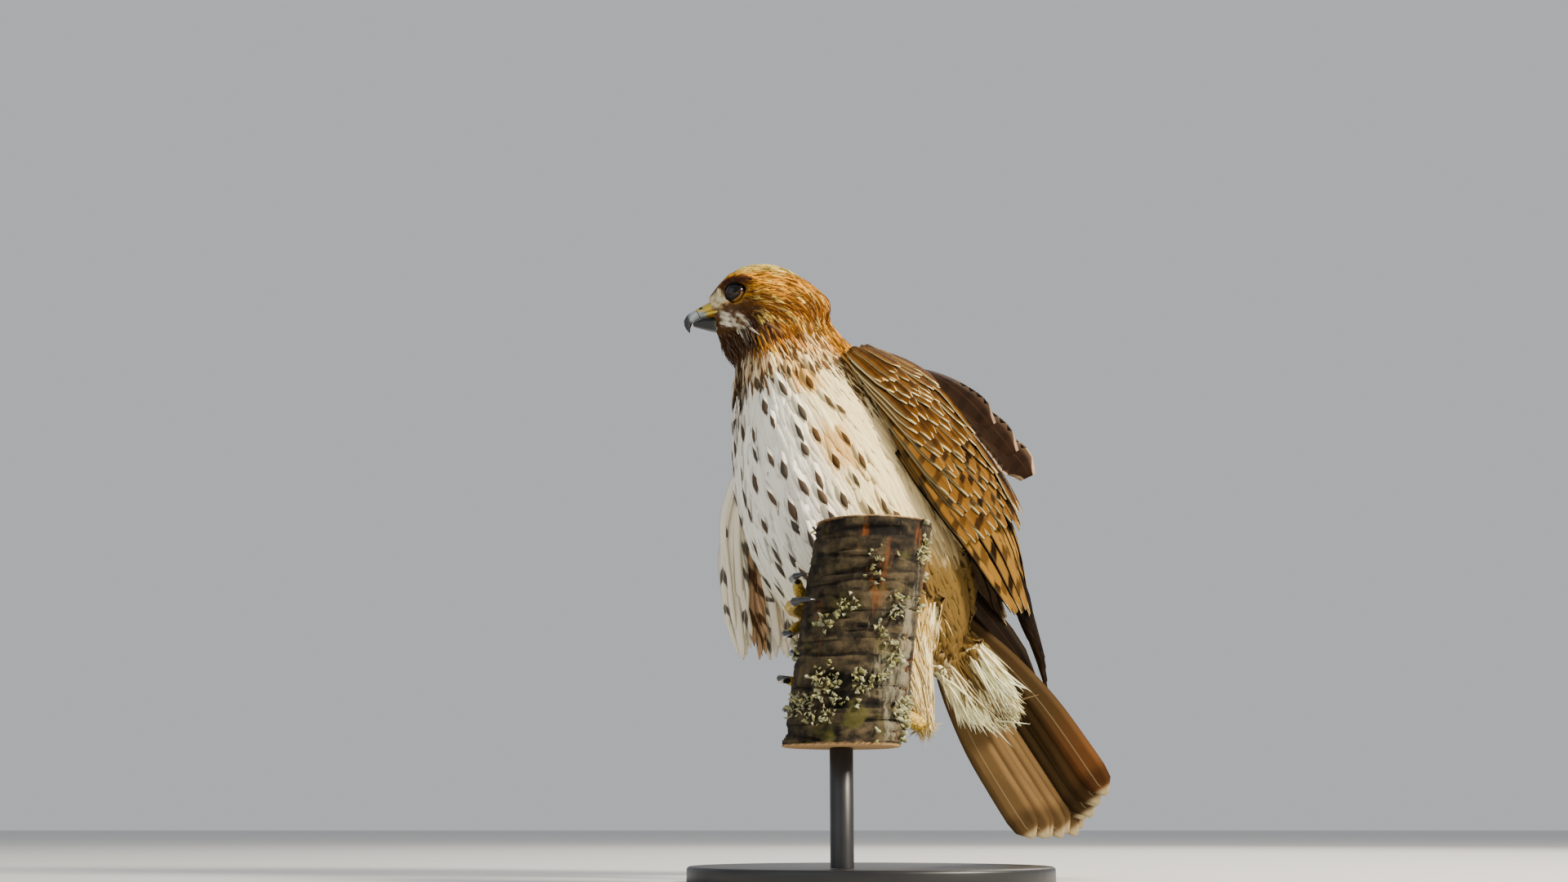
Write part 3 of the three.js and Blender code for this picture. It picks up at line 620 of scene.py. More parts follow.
# Colours of the coat at places on the hawk, in plain numbers, for skin and feathers alike.
hues = {
    "crown": (1.0, 0.86, 0.42), "gold": (0.93, 0.63, 0.12), "brown": (0.44, 0.26, 0.05),
    "umber": (0.23, 0.135, 0.045), "dark": (0.10, 0.055, 0.025), "russet": (0.55, 0.31, 0.06),
    "ash": (0.34, 0.25, 0.17), "cream": (0.97, 0.88, 0.66), "white": (0.97, 0.95, 0.89),
    "buff": (0.80, 0.61, 0.30), "lores": (0.93, 0.86, 0.68), "chin": (0.97, 0.93, 0.82),
    "olive": (0.22, 0.17, 0.08), "tan": (0.40, 0.31, 0.15), "back": (0.21, 0.12, 0.045),
    "beard": (0.30, 0.20, 0.10), "fluff": (0.72, 0.60, 0.34), "bright": (1.0, 0.94, 0.74),
}
hues = {name: np.array(linear(colour)) for name, colour in hues.items()}


def towards(tone, hue, amount):
    return tone + (hues[hue] - tone) * np.clip(amount, 0, 1)[:, None]


def spot(values, middle, size):  # 1 at the middle, falling to 0 at the size, over several measures
    total = sum(((v - m) / s) ** 2 for v, m, s in zip(values, middle, size))
    return np.clip(1.25 - total, 0, 1)


headPatches = [  # hue, amount, then where, how large and how tilted it is, as (ahead, up) on the head
    # the crown is painted pale, partly its own pale gold and partly painted highlight on the top of the head
    ("crown", 1.2, (7, 32), (34, 13), 0),
    ("brown", 0.7, (-34, -2), (20, 16), 0),
    # dark brow line over the eye: partly its own dark plumage, partly painted shadow under the brow ridge
    ("umber", 1.3, (31, 10.4), (17, 4.8), -6),
    ("brown", 0.9, (44, 10), (9, 6), -30),
    ("gold", 1.0, (10, 7), (14, 6), -24),
    ("umber", 0.85, (12, -8), (22, 10), 12),
    ("brown", 0.8, (-8, -12), (16, 12), 8),
    ("russet", 0.9, (-8, -30), (18, 9), 8),
    ("ash", 0.9, (13, -25), (14, 6.5), 0),
    ("ash", 1.2, (24, -12), (15, 6), 16),
    ("umber", 0.9, (18, -19), (18, 8), 24),
    ("ash", 1.3, (38, -14), (13, 9), 10),
    ("beard", 1.3, (33, -34), (24, 17), 36),
    ("lores", 1.3, (45.5, 0), (10.5, 8), 0),
    ("ash", 0.8, (31, -7), (9, 3.6), 8),
    ("chin", 1.1, (32, -18.8), (13.5, 5.0), 32),
]


def headTone(points, at):
    ahead, side, up = at["headAhead"], np.abs(at["headSide"]), at["headUp"]
    patchy = grain(points, 9.0) - 0.5
    lie = np.stack([(0.9 * ahead + 0.45 * up) * 0.2, 0.45 * ahead - 0.9 * up, side * 0.6], axis=-1)
    raggedAhead, raggedUp = ahead + 9 * (grain(lie, 1.7, 1.0) - 0.5), up + 6 * (grain(lie, 1.7, 4.0) - 0.5)
    fine = grain(lie, 1.2, 5.0)
    tone = np.tile(hues["gold"], (len(points), 1))
    for hue, amount, (middleAhead, middleUp), size, tilt in headPatches:
        s, c = math.sin(math.radians(tilt)), math.cos(math.radians(tilt))
        offAhead, offUp = raggedAhead - middleAhead, raggedUp - middleUp
        uneven = np.clip(3.2 * fine - 0.9, 0, 1.3) if hue == "chin" else 1 + 0.5 * patchy
        patch = spot((offAhead * c + offUp * s, offUp * c - offAhead * s), (0, 0), size)
        tone = towards(tone, hue, amount * patch * uneven)
    tone = towards(tone, "umber", 0.9 * ramp(ahead, 33, 42) * ramp(-side, -9, -4) * ramp(up, 3, 8))
    front = np.where(up > 8, 14, 0)
    streaks = grain(lie, 1.9, 2.0) * ramp(front - ahead, -34, -26)
    gaps = grain(lie, 2.8, 7.0) * ramp(-ahead, -26, -14)
    tone = towards(tone, "umber", 0.75 * ramp(streaks, 0.56, 0.76))
    tone = towards(tone, "ash", 0.6 * ramp(grain(lie, 1.3, 2.0), 0.5, 0.7) * ramp(ahead, 34, 38))
    tone = towards(tone, "crown", 0.65 * ramp(gaps, 0.5, 0.85) * ramp(up, -34, -14))
    fromEye = np.min([np.linalg.norm(points - middle - 6 * gaze, axis=1)
                      for middle, gaze in zip(eyeMiddles, eyeGazes)], axis=0)
    # darker above the eye: partly dark plumage, partly painted shade under the brow ridge
    tone = towards(tone, "umber", 0.85 * ramp(-fromEye, -14, -11) * ramp(up, -1, 4))
    return towards(tone, "buff", 0.6 * ramp(-fromEye, -12.5, -10) * ramp(-up, -5, 3) * ramp(-ahead, -33, -24))


def coatTone(points, at):
    patchy = grain(points, 9.0) - 0.5
    tone = headTone(points, at)
    turn, down = at["turn"], at["down"]
    around = np.abs(turn)
    neckAmount = ramp(-at["aboveNeck"] + 9 * patchy, 1, 8)
    neck = np.tile(hues["cream"], (len(points), 1))
    nape = 1 - ramp(around + 26 * patchy, 50, 84)
    neck = towards(neck, "gold", nape * ramp(-down, -0.32, -0.16))
    neck = towards(neck, "back", nape * ramp(down, 0.14, 0.26))
    neck = towards(neck, "white", ramp(around, 110, 150) * ramp(down, 0.08, 0.3))
    neck = towards(neck, "buff", 0.9 * spot((around, down * 100), (116, 22), (16, 4)))
    neck = towards(neck, "buff", 0.8 * spot((around, down * 100), (118, 38), (14, 6)))
    neck = towards(neck, "gold", 0.4 * ramp(-at["aboveNeck"], 2, 6) * ramp(at["aboveNeck"], -26, -14))
    neck = towards(neck, "tan", ramp(down, 0.5, 0.64) * ramp(-around, -154, -132))
    neck = towards(neck, "cream", 0.8 * ramp(down, 0.6, 0.85) * ramp(around, 125, 150))
    behind = np.where(turn > 0, turn - 360, turn)
    stain = spot((behind, down * 100), (-170, 21), (17, 14)) * ramp(grain(points, 5.0, 3.0), 0.35, 0.6)
    neck = towards(neck, "olive", 1.1 * stain)
    tone = mix(tone, neck, neckAmount[:, None])
    fluff = towards(hues["fluff"], "bright", 0.3 + 1.2 * patchy)
    tone = np.where(at["thigh"][:, None], fluff, tone)
    # the undertail's two lobes are painted bright, partly their own pale cream and partly painted highlight;
    # the crease between them and the far side stay tan as painted shade
    lobe = ramp(np.abs(at["ventTurn"]), 8, 26) * ramp(-np.abs(at["ventTurn"]), -100, -70)
    vent = towards(hues["tan"], "bright", lobe * (1.1 + 0.8 * patchy) * ramp(at["ventDown"], 0.05, 0.3))
    tone = np.where(at["vent"][:, None], vent, tone)
    return np.clip(tone, 0.01, 0.92)


print("skin fused:", len(skinMesh.vertices), "vertices")
skinPoints, skinNormals = coords(skinMesh), normals(skinMesh)
skinAt = survey(skinPoints)
inset = {"body": 3.6, "head": 1.7, "face": 0.9, "loose": 0.6}  # how far the coat stands off the skin
depth = mix(inset["body"], inset["head"], ramp(skinAt["aboveNeck"], -12, 12))
depth = np.where((skinAt["headAhead"] > 34) & (skinAt["aboveNeck"] > 0), inset["face"], depth)
depth = np.where(skinAt["thigh"] | skinAt["vent"] | skinAt["underWing"], inset["loose"], depth)
skinPoints = skinPoints - depth[:, None] * skinNormals
setCoords(skinMesh, skinPoints)
skinTone = coatTone(skinPoints, skinAt) * 0.8
skinTone = np.where(skinAt["underWing"][:, None], hues["back"], skinTone)
paint(skinMesh, "tone", np.concatenate([skinTone, np.ones((len(skinTone), 1))], axis=1))

skinFinish = Finish("down", roughness=0.9, Specular_IOR_Level=0.05)
skinFinish.colour(skinFinish.attribute("tone"))
skinFinish.bump(skinFinish.noise(700, 4), 0.5, 0.0006)
newPiece("skin", skinMesh, skinFinish, "plumage", "head", "neck", "torso")

skinTree = BVHTree.FromPolygons([Vector(point) for point in skinPoints],
                                [tuple(face.vertices) for face in skinMesh.polygons])


def onSkin(points):
    places, ways = np.empty_like(points), np.empty_like(points)
    for k, point in enumerate(points):
        place, way, _, _ = skinTree.find_nearest(point)
        places[k], ways[k] = place, way
    return places, ways


def scatter(keep, spacing, tries):  # roots over the skin, no two nearer than the spacing at their place
    skinMesh.calc_loop_triangles()
    tris = np.empty(len(skinMesh.loop_triangles) * 3, np.int32)
    skinMesh.loop_triangles.foreach_get("vertices", tris)
    tris = tris.reshape(-1, 3)
    middle = skinPoints[tris].mean(axis=1)
    tris = tris[keep(middle, survey(middle))]
    a, b, c = (skinPoints[tris[:, k]] for k in range(3))
    area = np.linalg.norm(np.cross(b - a, c - a), axis=1)
    chosen = draws.choice(len(tris), size=tries, p=area / area.sum())
    r, s = draws.random((2, tries))
    flip = r + s > 1
    r, s = np.where(flip, 1 - r, r), np.where(flip, 1 - s, s)
    places = a[chosen] + r[:, None] * (b - a)[chosen] + s[:, None] * (c - a)[chosen]
    near = spacing(survey(places))
    taken, kept = {}, []
    cell = float(near.max())
    for k, (place, gap) in enumerate(zip(places, near)):
        home = tuple(int(v) for v in place // cell)
        around = (tuple(h + s - 1 for h, s in zip(home, step)) for step in np.ndindex(3, 3, 3))
        others = (other for block in around for other in taken.get(block, ()))
        if all((x - place[0]) ** 2 + (y - place[1]) ** 2 + (z - place[2]) ** 2 >= gap * gap
               for x, y, z in others):
            taken.setdefault(home, []).append(place)
            kept.append(k)
    return places[kept]


def turned(way, normal, angle):  # a way turned about the normal
    side = np.cross(normal, way)
    return np.cos(angle)[:, None] * way + np.sin(angle)[:, None] * side


bladeThickness = 0.28
patchSize = 0.003  # each feather's own patch on the coat's sheet


def coat(name, keep, grade, plan, marks, *replaced):  # a value pair in the plan runs along the grade
    def sized(key, at):
        start, end = plan[key]
        return mix(start, end, grade(at))

    roots = scatter(keep, lambda at: sized("spacing", at), plan["tries"])
    at = survey(roots)
    count, stations = len(roots), len(plan["shape"])
    length = sized("length", at) * draws.uniform(0.8, 1.18, count)
    half = sized("half", at) * draws.uniform(0.8, 1.18, count)
    bias = draws.normal(0, plan["stray"], count)
    roll = draws.normal(0, plan["roll"], count)
    rise = draws.uniform(*plan["rise"], count)
    t = np.linspace(0, 1, stations)
    here, normal = onSkin(roots)
    path = np.empty((count, stations, 3))
    out, ways = np.empty_like(path), np.empty_like(path)
    for k in range(stations):
        if k < plan["hugs"]:
            way = turned(lieOf(here, normal, survey(here)), normal, bias * (1 - 0.4 * t[k]))
            way = unit(way + ways[:, 0]) if k and plan["hugs"] > 4 else way
        height = rise * np.interp(t[k], [0, 0.35, 1], plan["lift"]) * np.clip(length / 12, 0.4, 1.6) - 0.4
        path[:, k] = here + height[:, None] * normal
        out[:, k], ways[:, k] = normal, way
        here = here + way * (length / (stations - 1))[:, None]
        if k < plan["hugs"] - 1:
            here, normal = onSkin(here)
    if "ceiling" in plan:  # these stay below the tail
        path -= np.maximum((path - tailRoot) @ tailUp - plan["ceiling"], 0)[..., None] * tailUp
    across = unit(np.cross(ways, out))
    tilt = roll[:, None, None]
    across, out = across * np.cos(tilt) + out * np.sin(tilt), out * np.cos(tilt) - across * np.sin(tilt)
    widths = half[:, None] * np.array(plan["shape"])[None]
    sheet = np.stack([(at["turn"] + 180) / 360, np.clip(1 - at["down"], 0, 1) * 0.7], axis=-1)
    azimuth = np.degrees(np.arctan2(at["headSide"], at["headAhead"]))
    headSheet = np.stack([(azimuth + 180) / 360, 0.72 + 0.27 * ramp(at["headUp"], -60, 36)], axis=-1)
    sheet = np.clip(np.where((at["aboveNeck"] > 0)[:, None], headSheet, sheet), 0.002, 0.998)
    looks = coatLooks(roots, at, plan, marks(at, count))
    mesh = vanes(name, path, across, out, widths, bladeThickness, plan["cup"], (sheet, patchSize), looks)
    print(name, count, "feathers")
    newPiece(name, mesh, coatFinish, "plumage", *replaced)


# Each feather takes its tone from its place, a streak down its shaft and a pale fringe.
def coatLooks(roots, at, plan, streaks):
    count = len(roots)
    one = np.ones((count, 1))
    tone = coatTone(roots, at) * draws.uniform(*plan["shades"], (count, 1))
    pale = draws.random(count) < plan["paler"]
    tone = np.where(pale[:, None], tone * 1.25 + 0.03, tone)
    rim = np.clip(tone * 1.3 + 0.05, 0, 0.94)
    colour = mix(hues["dark"], hues["brown"], draws.uniform(0, plan["redder"], (count, 1)))
    amounts = np.stack([streaks, np.full(count, plan["streakFrom"]), draws.random(count)], axis=-1)
    return {
        "tone": np.concatenate([np.clip(tone, 0.01, 0.93), one], axis=1),
        "rim": np.concatenate([rim, one * plan["fringe"]], axis=1),
        "mark": np.concatenate([colour, one], axis=1),
        "amounts": np.concatenate([amounts, one], axis=1),
    }


def plumageFinish(name, barbs):
    finish = Finish(name, roughness=0.85, Specular_IOR_Level=0.06)
    x, y = finish.vane()
    off = abs(x * 2 - 1)
    streak, start, chance = finish.parts(finish.attribute("amounts"))
    body = y.between(start, start + 0.4) * y.between(0.99, 0.88)
    mask = (off - streak * body).between(0.1, -0.06) * streak.between(0.02, 0.08)
    rim = off.between(0.55, 0.98).most(y.between(0.85, 1.0))
    rim = rim * finish.attribute("rim", "Alpha")
    tone = finish.blend(rim, finish.attribute("tone"), finish.attribute("rim"))
    tone = finish.blend(mask * 0.94, tone, finish.attribute("mark"))
    barb = ((y * barbs + off * (barbs * 0.35)) + chance * 7).sine()
    shade = finish.blend(1.0, tone, (0.88, 0.86, 0.84), "MULTIPLY")
    finish.colour(finish.blend(barb.between(0.1, 1.0) * 0.35, tone, shade))
    finish.bump(barb, 0.15, 0.0003)
    return finish


coatFinish = plumageFinish("feather", 95)
leaf = [0.35, 0.9, 1.0, 0.72, 0.08]
lance = [0.4, 0.95, 0.78, 0.1]
strand = [0.5, 1.0, 0.85, 0.5, 0.06]


bareFace = {"from": 44.5, "half": 10.8, "middle": -9.6, "halfHeight": 14, "to": 51.5}


def clearOfBill(at):
    beside = np.abs(at["headSide"]) >= bareFace["half"]
    above = np.abs(at["headUp"] - bareFace["middle"]) >= bareFace["halfHeight"]
    return (at["headAhead"] < bareFace["to"]) & ((at["headAhead"] <= bareFace["from"]) | beside | above)


def clearOfEyes(points):
    clear = np.ones(len(points), bool)
    for middle, gaze in zip(eyeMiddles, eyeGazes):
        away = points - middle
        ahead, rise = away @ unit(headAhead - (headAhead @ gaze) * gaze), away @ gaze
        up = away[:, 2] - rise * gaze[2]
        clear &= (np.hypot(ahead, up) > openingAt(ahead, up) + 1.2) | (rise < 0)
    return clear


def noStreaks(at, count):
    return np.zeros(count)


# head: fine on the face, longer and bolder down the nape
facePlan = {"spacing": (1.5, 1.02), "length": (9.5, 3.6), "half": (1.35, 0.62), "tries": 90000,
            "shape": lance, "lift": [0.2, 0.7, 0.7], "rise": (0.7, 1.3), "stray": 0.12, "roll": 0.12,
            "cup": 0.3, "shades": (0.62, 1.16), "paler": 0.22, "fringe": 0.4, "redder": 0.8,
            "streakFrom": 0.05, "hugs": 9}
napePlan = {**facePlan, "spacing": (1.9, 1.5), "length": (13.5, 9.5), "half": (1.9, 1.35), "tries": 60000,
            "lift": [0.2, 0.9, 1.0], "shades": (0.62, 1.18), "streakFrom": 0.1}


def towardsBill(at):
    return ramp(at["headAhead"], 4, 38)


def towardsFace(at):
    return ramp(at["headAhead"], -24, 6)


def headStreaks(at, count):
    ahead, up = at["headAhead"], at["headUp"]
    strength = 0.4 + 0.36 * ramp(-ahead, -8, 34)
    strength = strength * (1 - ramp(ahead, 29, 38) * ramp(up, -14, -6))
    strength = strength * (1 - spot((ahead, up), (28, -21), (16, 7)))
    beard = ramp(-up, 26, 36) * ramp(ahead, -6, 8)
    strength = strength * draws.uniform(-0.3, 1.5, count) + 0.4 * beard
    return np.clip(np.where(up > 22, strength * 0.6, strength), 0, 0.8)


coat("coat_face",
     lambda p, at: (at["aboveNeck"] > -6) & (at["headAhead"] > 4) & clearOfBill(at) & clearOfEyes(p),
     towardsBill, facePlan, headStreaks)
coat("coat_nape", lambda p, at: (at["aboveNeck"] > -8) & (at["headAhead"] <= 4),
     towardsFace, napePlan, headStreaks)

# the loose dark beard under the throat
beardPlan = {**facePlan, "spacing": (2.1, 1.7), "length": (19.0, 12.0), "half": (1.1, 0.8), "tries": 9000,
             "shape": strand, "lift": [0.3, 1.3, 1.6], "rise": (0.6, 1.6), "stray": 0.22,
             "shades": (0.45, 1.2), "paler": 0.36, "hugs": 2}
coat("coat_beard",
     lambda p, at: (at["aboveNeck"] > -12) & (at["headUp"] < -25) & (at["headAhead"] > 2) & clearOfBill(at),
     towardsBill, beardPlan, noStreaks)

# body: broad soft feathers that hide their own edges
neckPlan = {"spacing": (2.9, 3.6), "length": (17.0, 24.0), "half": (2.7, 4.6), "tries": 26000, "shape": leaf,
            "lift": [0.3, 0.9, 0.9], "rise": (0.8, 1.2), "stray": 0.12, "roll": 0.07, "cup": 0.22,
            "shades": (0.9, 1.06), "paler": 0.0, "fringe": 0.3, "redder": 0.6, "streakFrom": 0.25, "hugs": 9}
bodyPlan = {**neckPlan, "spacing": (3.9, 4.3), "length": (27.0, 30.0), "half": (5.4, 6.2), "tries": 40000,
            "lift": [0.3, 1.0, 0.8], "stray": 0.14, "roll": 0.06}


def downBody(at):
    return ramp(at["down"], 0.05, 0.5)


def neckStreaks(at, count):
    around, above = np.abs(at["turn"]), at["aboveNeck"]
    below = spot((above,), (-13,), (15,)) * 0.7
    nape = (around < 80) & (at["down"] < 0.32)
    chosen = draws.random(count) < np.where(nape, 0.9, below)
    return np.where(chosen, draws.uniform(0.3, 0.62, count), 0)


coat("coat_neck", lambda p, at: (at["aboveNeck"] <= -2) & (at["down"] < 0.3) & ~at["underWing"],
     downBody, neckPlan, neckStreaks)
coat("coat_body",
     lambda p, at: ((at["down"] >= 0.28) & (at["aboveNeck"] < -10)
                    & ~at["underWing"] & ~at["thigh"] & ~at["vent"]),
     downBody, bodyPlan, noStreaks)

# a few dark teardrops over the breast and belly
dropPlan = {**bodyPlan, "spacing": (12.5, 14.5), "length": (24.0, 27.0), "half": (3.4, 4.0), "tries": 2500,
            "lift": [0.3, 1.6, 1.35], "rise": (0.9, 1.2), "redder": 0.3, "streakFrom": 0.34}


def dropStreaks(at, count):
    return draws.uniform(0.55, 0.95, count)


coat("coat_drops",
     lambda p, at: (at["down"] > 0.17) & (at["down"] < 0.68) & (np.abs(at["turn"]) > 104) & ~at["underWing"],
     downBody, dropPlan, dropStreaks)

# trousers and undertail: long loose strands
thighPlan = {"spacing": (2.2, 1.9), "length": (38.0, 27.0), "half": (1.7, 1.2), "tries": 26000,
             "shape": strand, "lift": [0.3, 0.9, 0.8], "rise": (0.6, 1.7), "stray": 0.2, "roll": 0.25,
             "cup": 0.3, "shades": (0.84, 1.1), "paler": 0.2, "fringe": 0.2, "redder": 0.8,
             "streakFrom": 0.3, "hugs": 3}
undertailPlan = {**thighPlan, "spacing": (1.9, 1.9), "length": (46.0, 38.0), "half": (1.45, 1.2),
                 "tries": 30000, "lift": [0.3, 1.0, 0.6], "stray": 0.16, "shades": (0.9, 1.15), "hugs": 2,
                 "rootsBelow": -21, "ceiling": -15}


def downThigh(at):
    return at["thighDown"]


def downUndertail(at):
    return at["ventDown"]


coat("coat_thighs", lambda p, at: at["thigh"] & ~at["underWing"], downThigh, thighPlan, noStreaks,
     "thigh_left", "thigh_right")
coat("coat_undertail", lambda p, at: at["vent"] & ((p - tailRoot) @ tailUp < undertailPlan["rootsBelow"]),
     downUndertail, undertailPlan, noStreaks, "undertail")


# wings and tail: closed vanes in tiers
def flightFinish(name, bars, turnover, banded):
    finish = Finish(name, roughness=0.7, Specular_IOR_Level=0.02)
    x, y = finish.vane()
    off = abs(x * 2 - 1)
    barAmount, fringeAmount, chance = finish.parts(finish.attribute("amounts"))
    edgeShadeAmount = finish.attribute("amounts", "Alpha")
    mark, pale = finish.attribute("mark"), finish.attribute("rim")
    wave = ((y * bars + chance * 3) - abs(x - 0.4) * 2.6 + finish.noise(160, 2)).sine()
    tone = finish.blend(wave.between(0.2, 0.85) * barAmount, finish.attribute("tone"), mark)
    core = finish.attribute("mark", "Alpha")
    tone = finish.blend(finish.noise(60, 3).between(0.35, 0.75) * core * 0.5, tone, mark)
    tone = finish.blend(off.between(0.5, 0.95) * fringeAmount * 0.15, tone, pale)
    tone = finish.blend(off.between(0.75, 0.1) * y.between(1.0, 0.84) * core, tone, mark)
    shaft = abs(x - 0.44).between(0.03, 0.012)
    tone = finish.blend(shaft * 0.6, tone, finish.attribute("shaft"))
    rim = (off + y.between(0.84, 1.0) * 0.34).between(1.0 - fringeAmount * 0.2, 1.04 - fringeAmount * 0.14)
    tone = finish.blend(rim * fringeAmount, tone, pale)
    # painted shade: near-black lines along the vane's edges, where neighbouring feathers overlap
    edges = x.between(0.3, 0.08).most(x.between(0.84, 0.96))
    tone = finish.blend(edges * edgeShadeAmount, tone, (0.02, 0.012, 0.008))
    band = y.between(0.84, 0.91) * y.between(0.975, 0.94)
    tone = finish.blend(band * banded, tone, mark)
    below = finish.blend(wave.between(0.2, 0.9) * 0.16 + band * 0.5, finish.attribute("below"), mark)
    below = finish.blend(off.between(0.9, 0.99) * 0.2, below, mark)
    below = finish.blend(y.between(0.955, 0.985) * 0.5 + shaft * 0.12, below, pale)
    under, _, _ = finish.parts(finish.attribute("side"))
    finish.colour(finish.blend(under.between(turnover, turnover - 0.1), tone, below))
    barb = (y * 260 + off * 110).sine()
    finish.bump(barb * 0.3 + shaft, 0.25, 0.0003)
    return finish


wingFinish = flightFinish("wing_feather", 30, 0.45, 0.0)


def wingTier(side, roots, tips, half, heights, shape, slope, stations, twist=0.0):
    roots, tips, heights = (np.asarray(v, float) for v in (roots, tips, heights))
    count = len(roots)
    t = np.linspace(0, 1, stations)
    half = np.broadcast_to(np.asarray(half, float), (count,))

    def place(t):
        u = mix(roots[:, :1], tips[:, :1], t)
        turn = side * mix(roots[:, 1:], tips[:, 1:], t)
        height = np.stack([along(h, np.clip(t, 0, 1)) for h in heights])
        return onBody(shell, u, turn, height), u, turn

    path, u, turn = place(t)
    way = unit(place(t + 0.02)[0] - place(t - 0.02)[0])
    flat = np.zeros_like(u)
    around = onBody(shell, u, turn + side * 2, flat) - onBody(shell, u, turn - side * 2, flat)
    across = unit(around - dots(around, way)[..., None] * way)
    out = unit(np.cross(across, way)) * side
    c, s = np.cos(np.radians(twist * t))[:, None], np.sin(np.radians(twist * t))[:, None]
    across, out = across * c - out * s, out * c + across * s
    widths = half[:, None] * along(shape, t)[None]
    return {"path": path, "across": across, "out": out, "half": widths, "slope": slope, "cup": 0.1}


brownHues = {"tone": (0.37, 0.23, 0.055), "mark": (0.10, 0.055, 0.018), "rim": (1.0, 0.91, 0.66),
             "below": (0.42, 0.35, 0.27), "shaft": (0.2, 0.13, 0.08), "core": 0.75, "bars": 0.3,
             "fringe": 0.8, "edge": 0.0, "vary": 0.22}


def tierLooks(count, plan):
    shade = draws.uniform(1 - plan["vary"], 1 + plan["vary"], (count, 1))
    bars = plan["bars"] * draws.uniform(0.6, 1.2, count)
    fringe = plan["fringe"] * draws.uniform(0.55, 1.1, count)
    one = np.ones((count, 1))
    looks = {key: rgba(plan[key], count) for key in ("tone", "mark", "rim", "below", "shaft")}
    looks["tone"] *= np.concatenate([shade, shade, shade, one], axis=1)
    looks["mark"] *= np.concatenate([shade, shade, shade, one * plan["core"]], axis=1)
    # the fourth amount is how strongly the vane's edges are painted with shade
    looks["amounts"] = np.stack([bars, fringe, draws.random(count), np.full(count, plan["edge"])], axis=-1)
    return looks


flight = [0.5, 0.9, 1.0, 1.0, 0.97, 0.86, 0.3]
covert = [0.55, 0.95, 1.05, 1.05, 0.93, 0.35]
lobed = [0.4, 0.7, 0.95, 1.1, 1.1, 0.5]
tiers = [  # the two rows of long feathers, as (down and round the body) of the lowest and highest feather
    {"count": 11, "root": (0.42, 0.42, 46, 68), "tip": (0.945, 0.82, 12, 33), "half": 11, "twist": 42,
     "heights": [-15, -9, -6, -3],
     "looks": {**brownHues, "tone": (0.11, 0.075, 0.05), "mark": (0.03, 0.02, 0.015),
               "rim": (0.45, 0.34, 0.22), "below": (0.15, 0.12, 0.095), "bars": 0.5, "fringe": 0.4,
               "edge": 0.6}},
    {"count": 14, "root": (0.24, 0.34, 85, 16), "tip": (0.668, 0.82, 66, 13), "half": 10.5, "twist": 0,
     "heights": [-14, -10, -6, -2],
     "looks": {**brownHues, "tone": (0.50, 0.36, 0.14), "rim": (0.98, 0.90, 0.68), "core": 0.1,
               "bars": 1.0, "fringe": 0.6, "edge": 1.0}},
]
coverts = {  # rows between the first and last named here, each from the wing's lower edge to its upper
    "rows": 9, "count": (16, 12), "half": (8.0, 11.0),
    "root": ((0.0, 0.03), (0.185, 0.27)), "rootTurn": ((72, 8), (84, 13)),
    "tip": ((0.10, 0.145), (0.46, 0.57)), "tipTurn": ((74, 9), (80, 14)),
    "jitter": (0.006, 0.8, 0.013, 1.3), "heights": ((-6, -2.5, -0.4, 0.8), (-14, -8, -4, -1.4)),
    "high": {**brownHues, "fringe": 1.0, "bars": 0.2},
    "low": {**brownHues, "tone": (0.46, 0.31, 0.10), "fringe": 0.8, "bars": 0.9, "core": 0.4, "edge": 0.6},
}
scapulars = {"rows": [(0.03, 0.2, 30, 0.8), (0.1, 0.3, 32, 1.4), (0.18, 0.42, 34, 2.0),
                      (0.28, 0.53, 32, 2.2)], "count": 6, "half": 9.5, "looks": {**brownHues, "fringe": 1.0}}
lifted = {"root": [(0.07, 27), (0.13, 28.5), (0.19, 30)], "tip": [(0.30, 34), (0.375, 35.5), (0.45, 37)],
          "heights": [(-9, 2, 9, 13), (-10, 3, 12, 17), (-12, 4, 15, 21)], "half": 14, "twist": 58,
          "looks": {**brownHues, "tone": (0.15, 0.095, 0.06), "mark": (0.06, 0.035, 0.022),
                    "rim": (0.80, 0.68, 0.56), "below": (0.19, 0.12, 0.085), "core": 0.4, "bars": 0.4,
                    "fringe": 0.6}}


def covertRows(side):
    rows = []
    for row in range(coverts["rows"]):
        v = row / (coverts["rows"] - 1)
        count = round(mix(*coverts["count"], v))
        k = (np.arange(count) + 0.5 * (row % 2)) / count
        stray = draws.normal(0, 1, (4, count))
        places = []
        for key, jitter in zip(("root", "rootTurn", "tip", "tipTurn"), coverts["jitter"]):
            lower, upper = (mix(a, b, v) for a, b in zip(*coverts[key]))
            places.append(mix(lower, upper, k) + jitter * stray[len(places)])
        roots, tips = np.stack(places[:2], axis=-1), np.stack(places[2:], axis=-1)
        heights = np.array([mix(a, b, v) for a, b in zip(*coverts["heights"])])[None]
        heights = heights * (1 - 0.35 * (roots[:, 1:] / 84) ** 2) + draws.uniform(-0.35, 0.6, (count, 1))
        half = mix(*coverts["half"], v) * draws.uniform(0.88, 1.1, count)
        looks = tierLooks(count, coverts["high"] if v < 0.6 else coverts["low"])
        rows.append((wingTier(side, roots, tips, half, heights, covert, 0.1, 8), looks))
    return rows


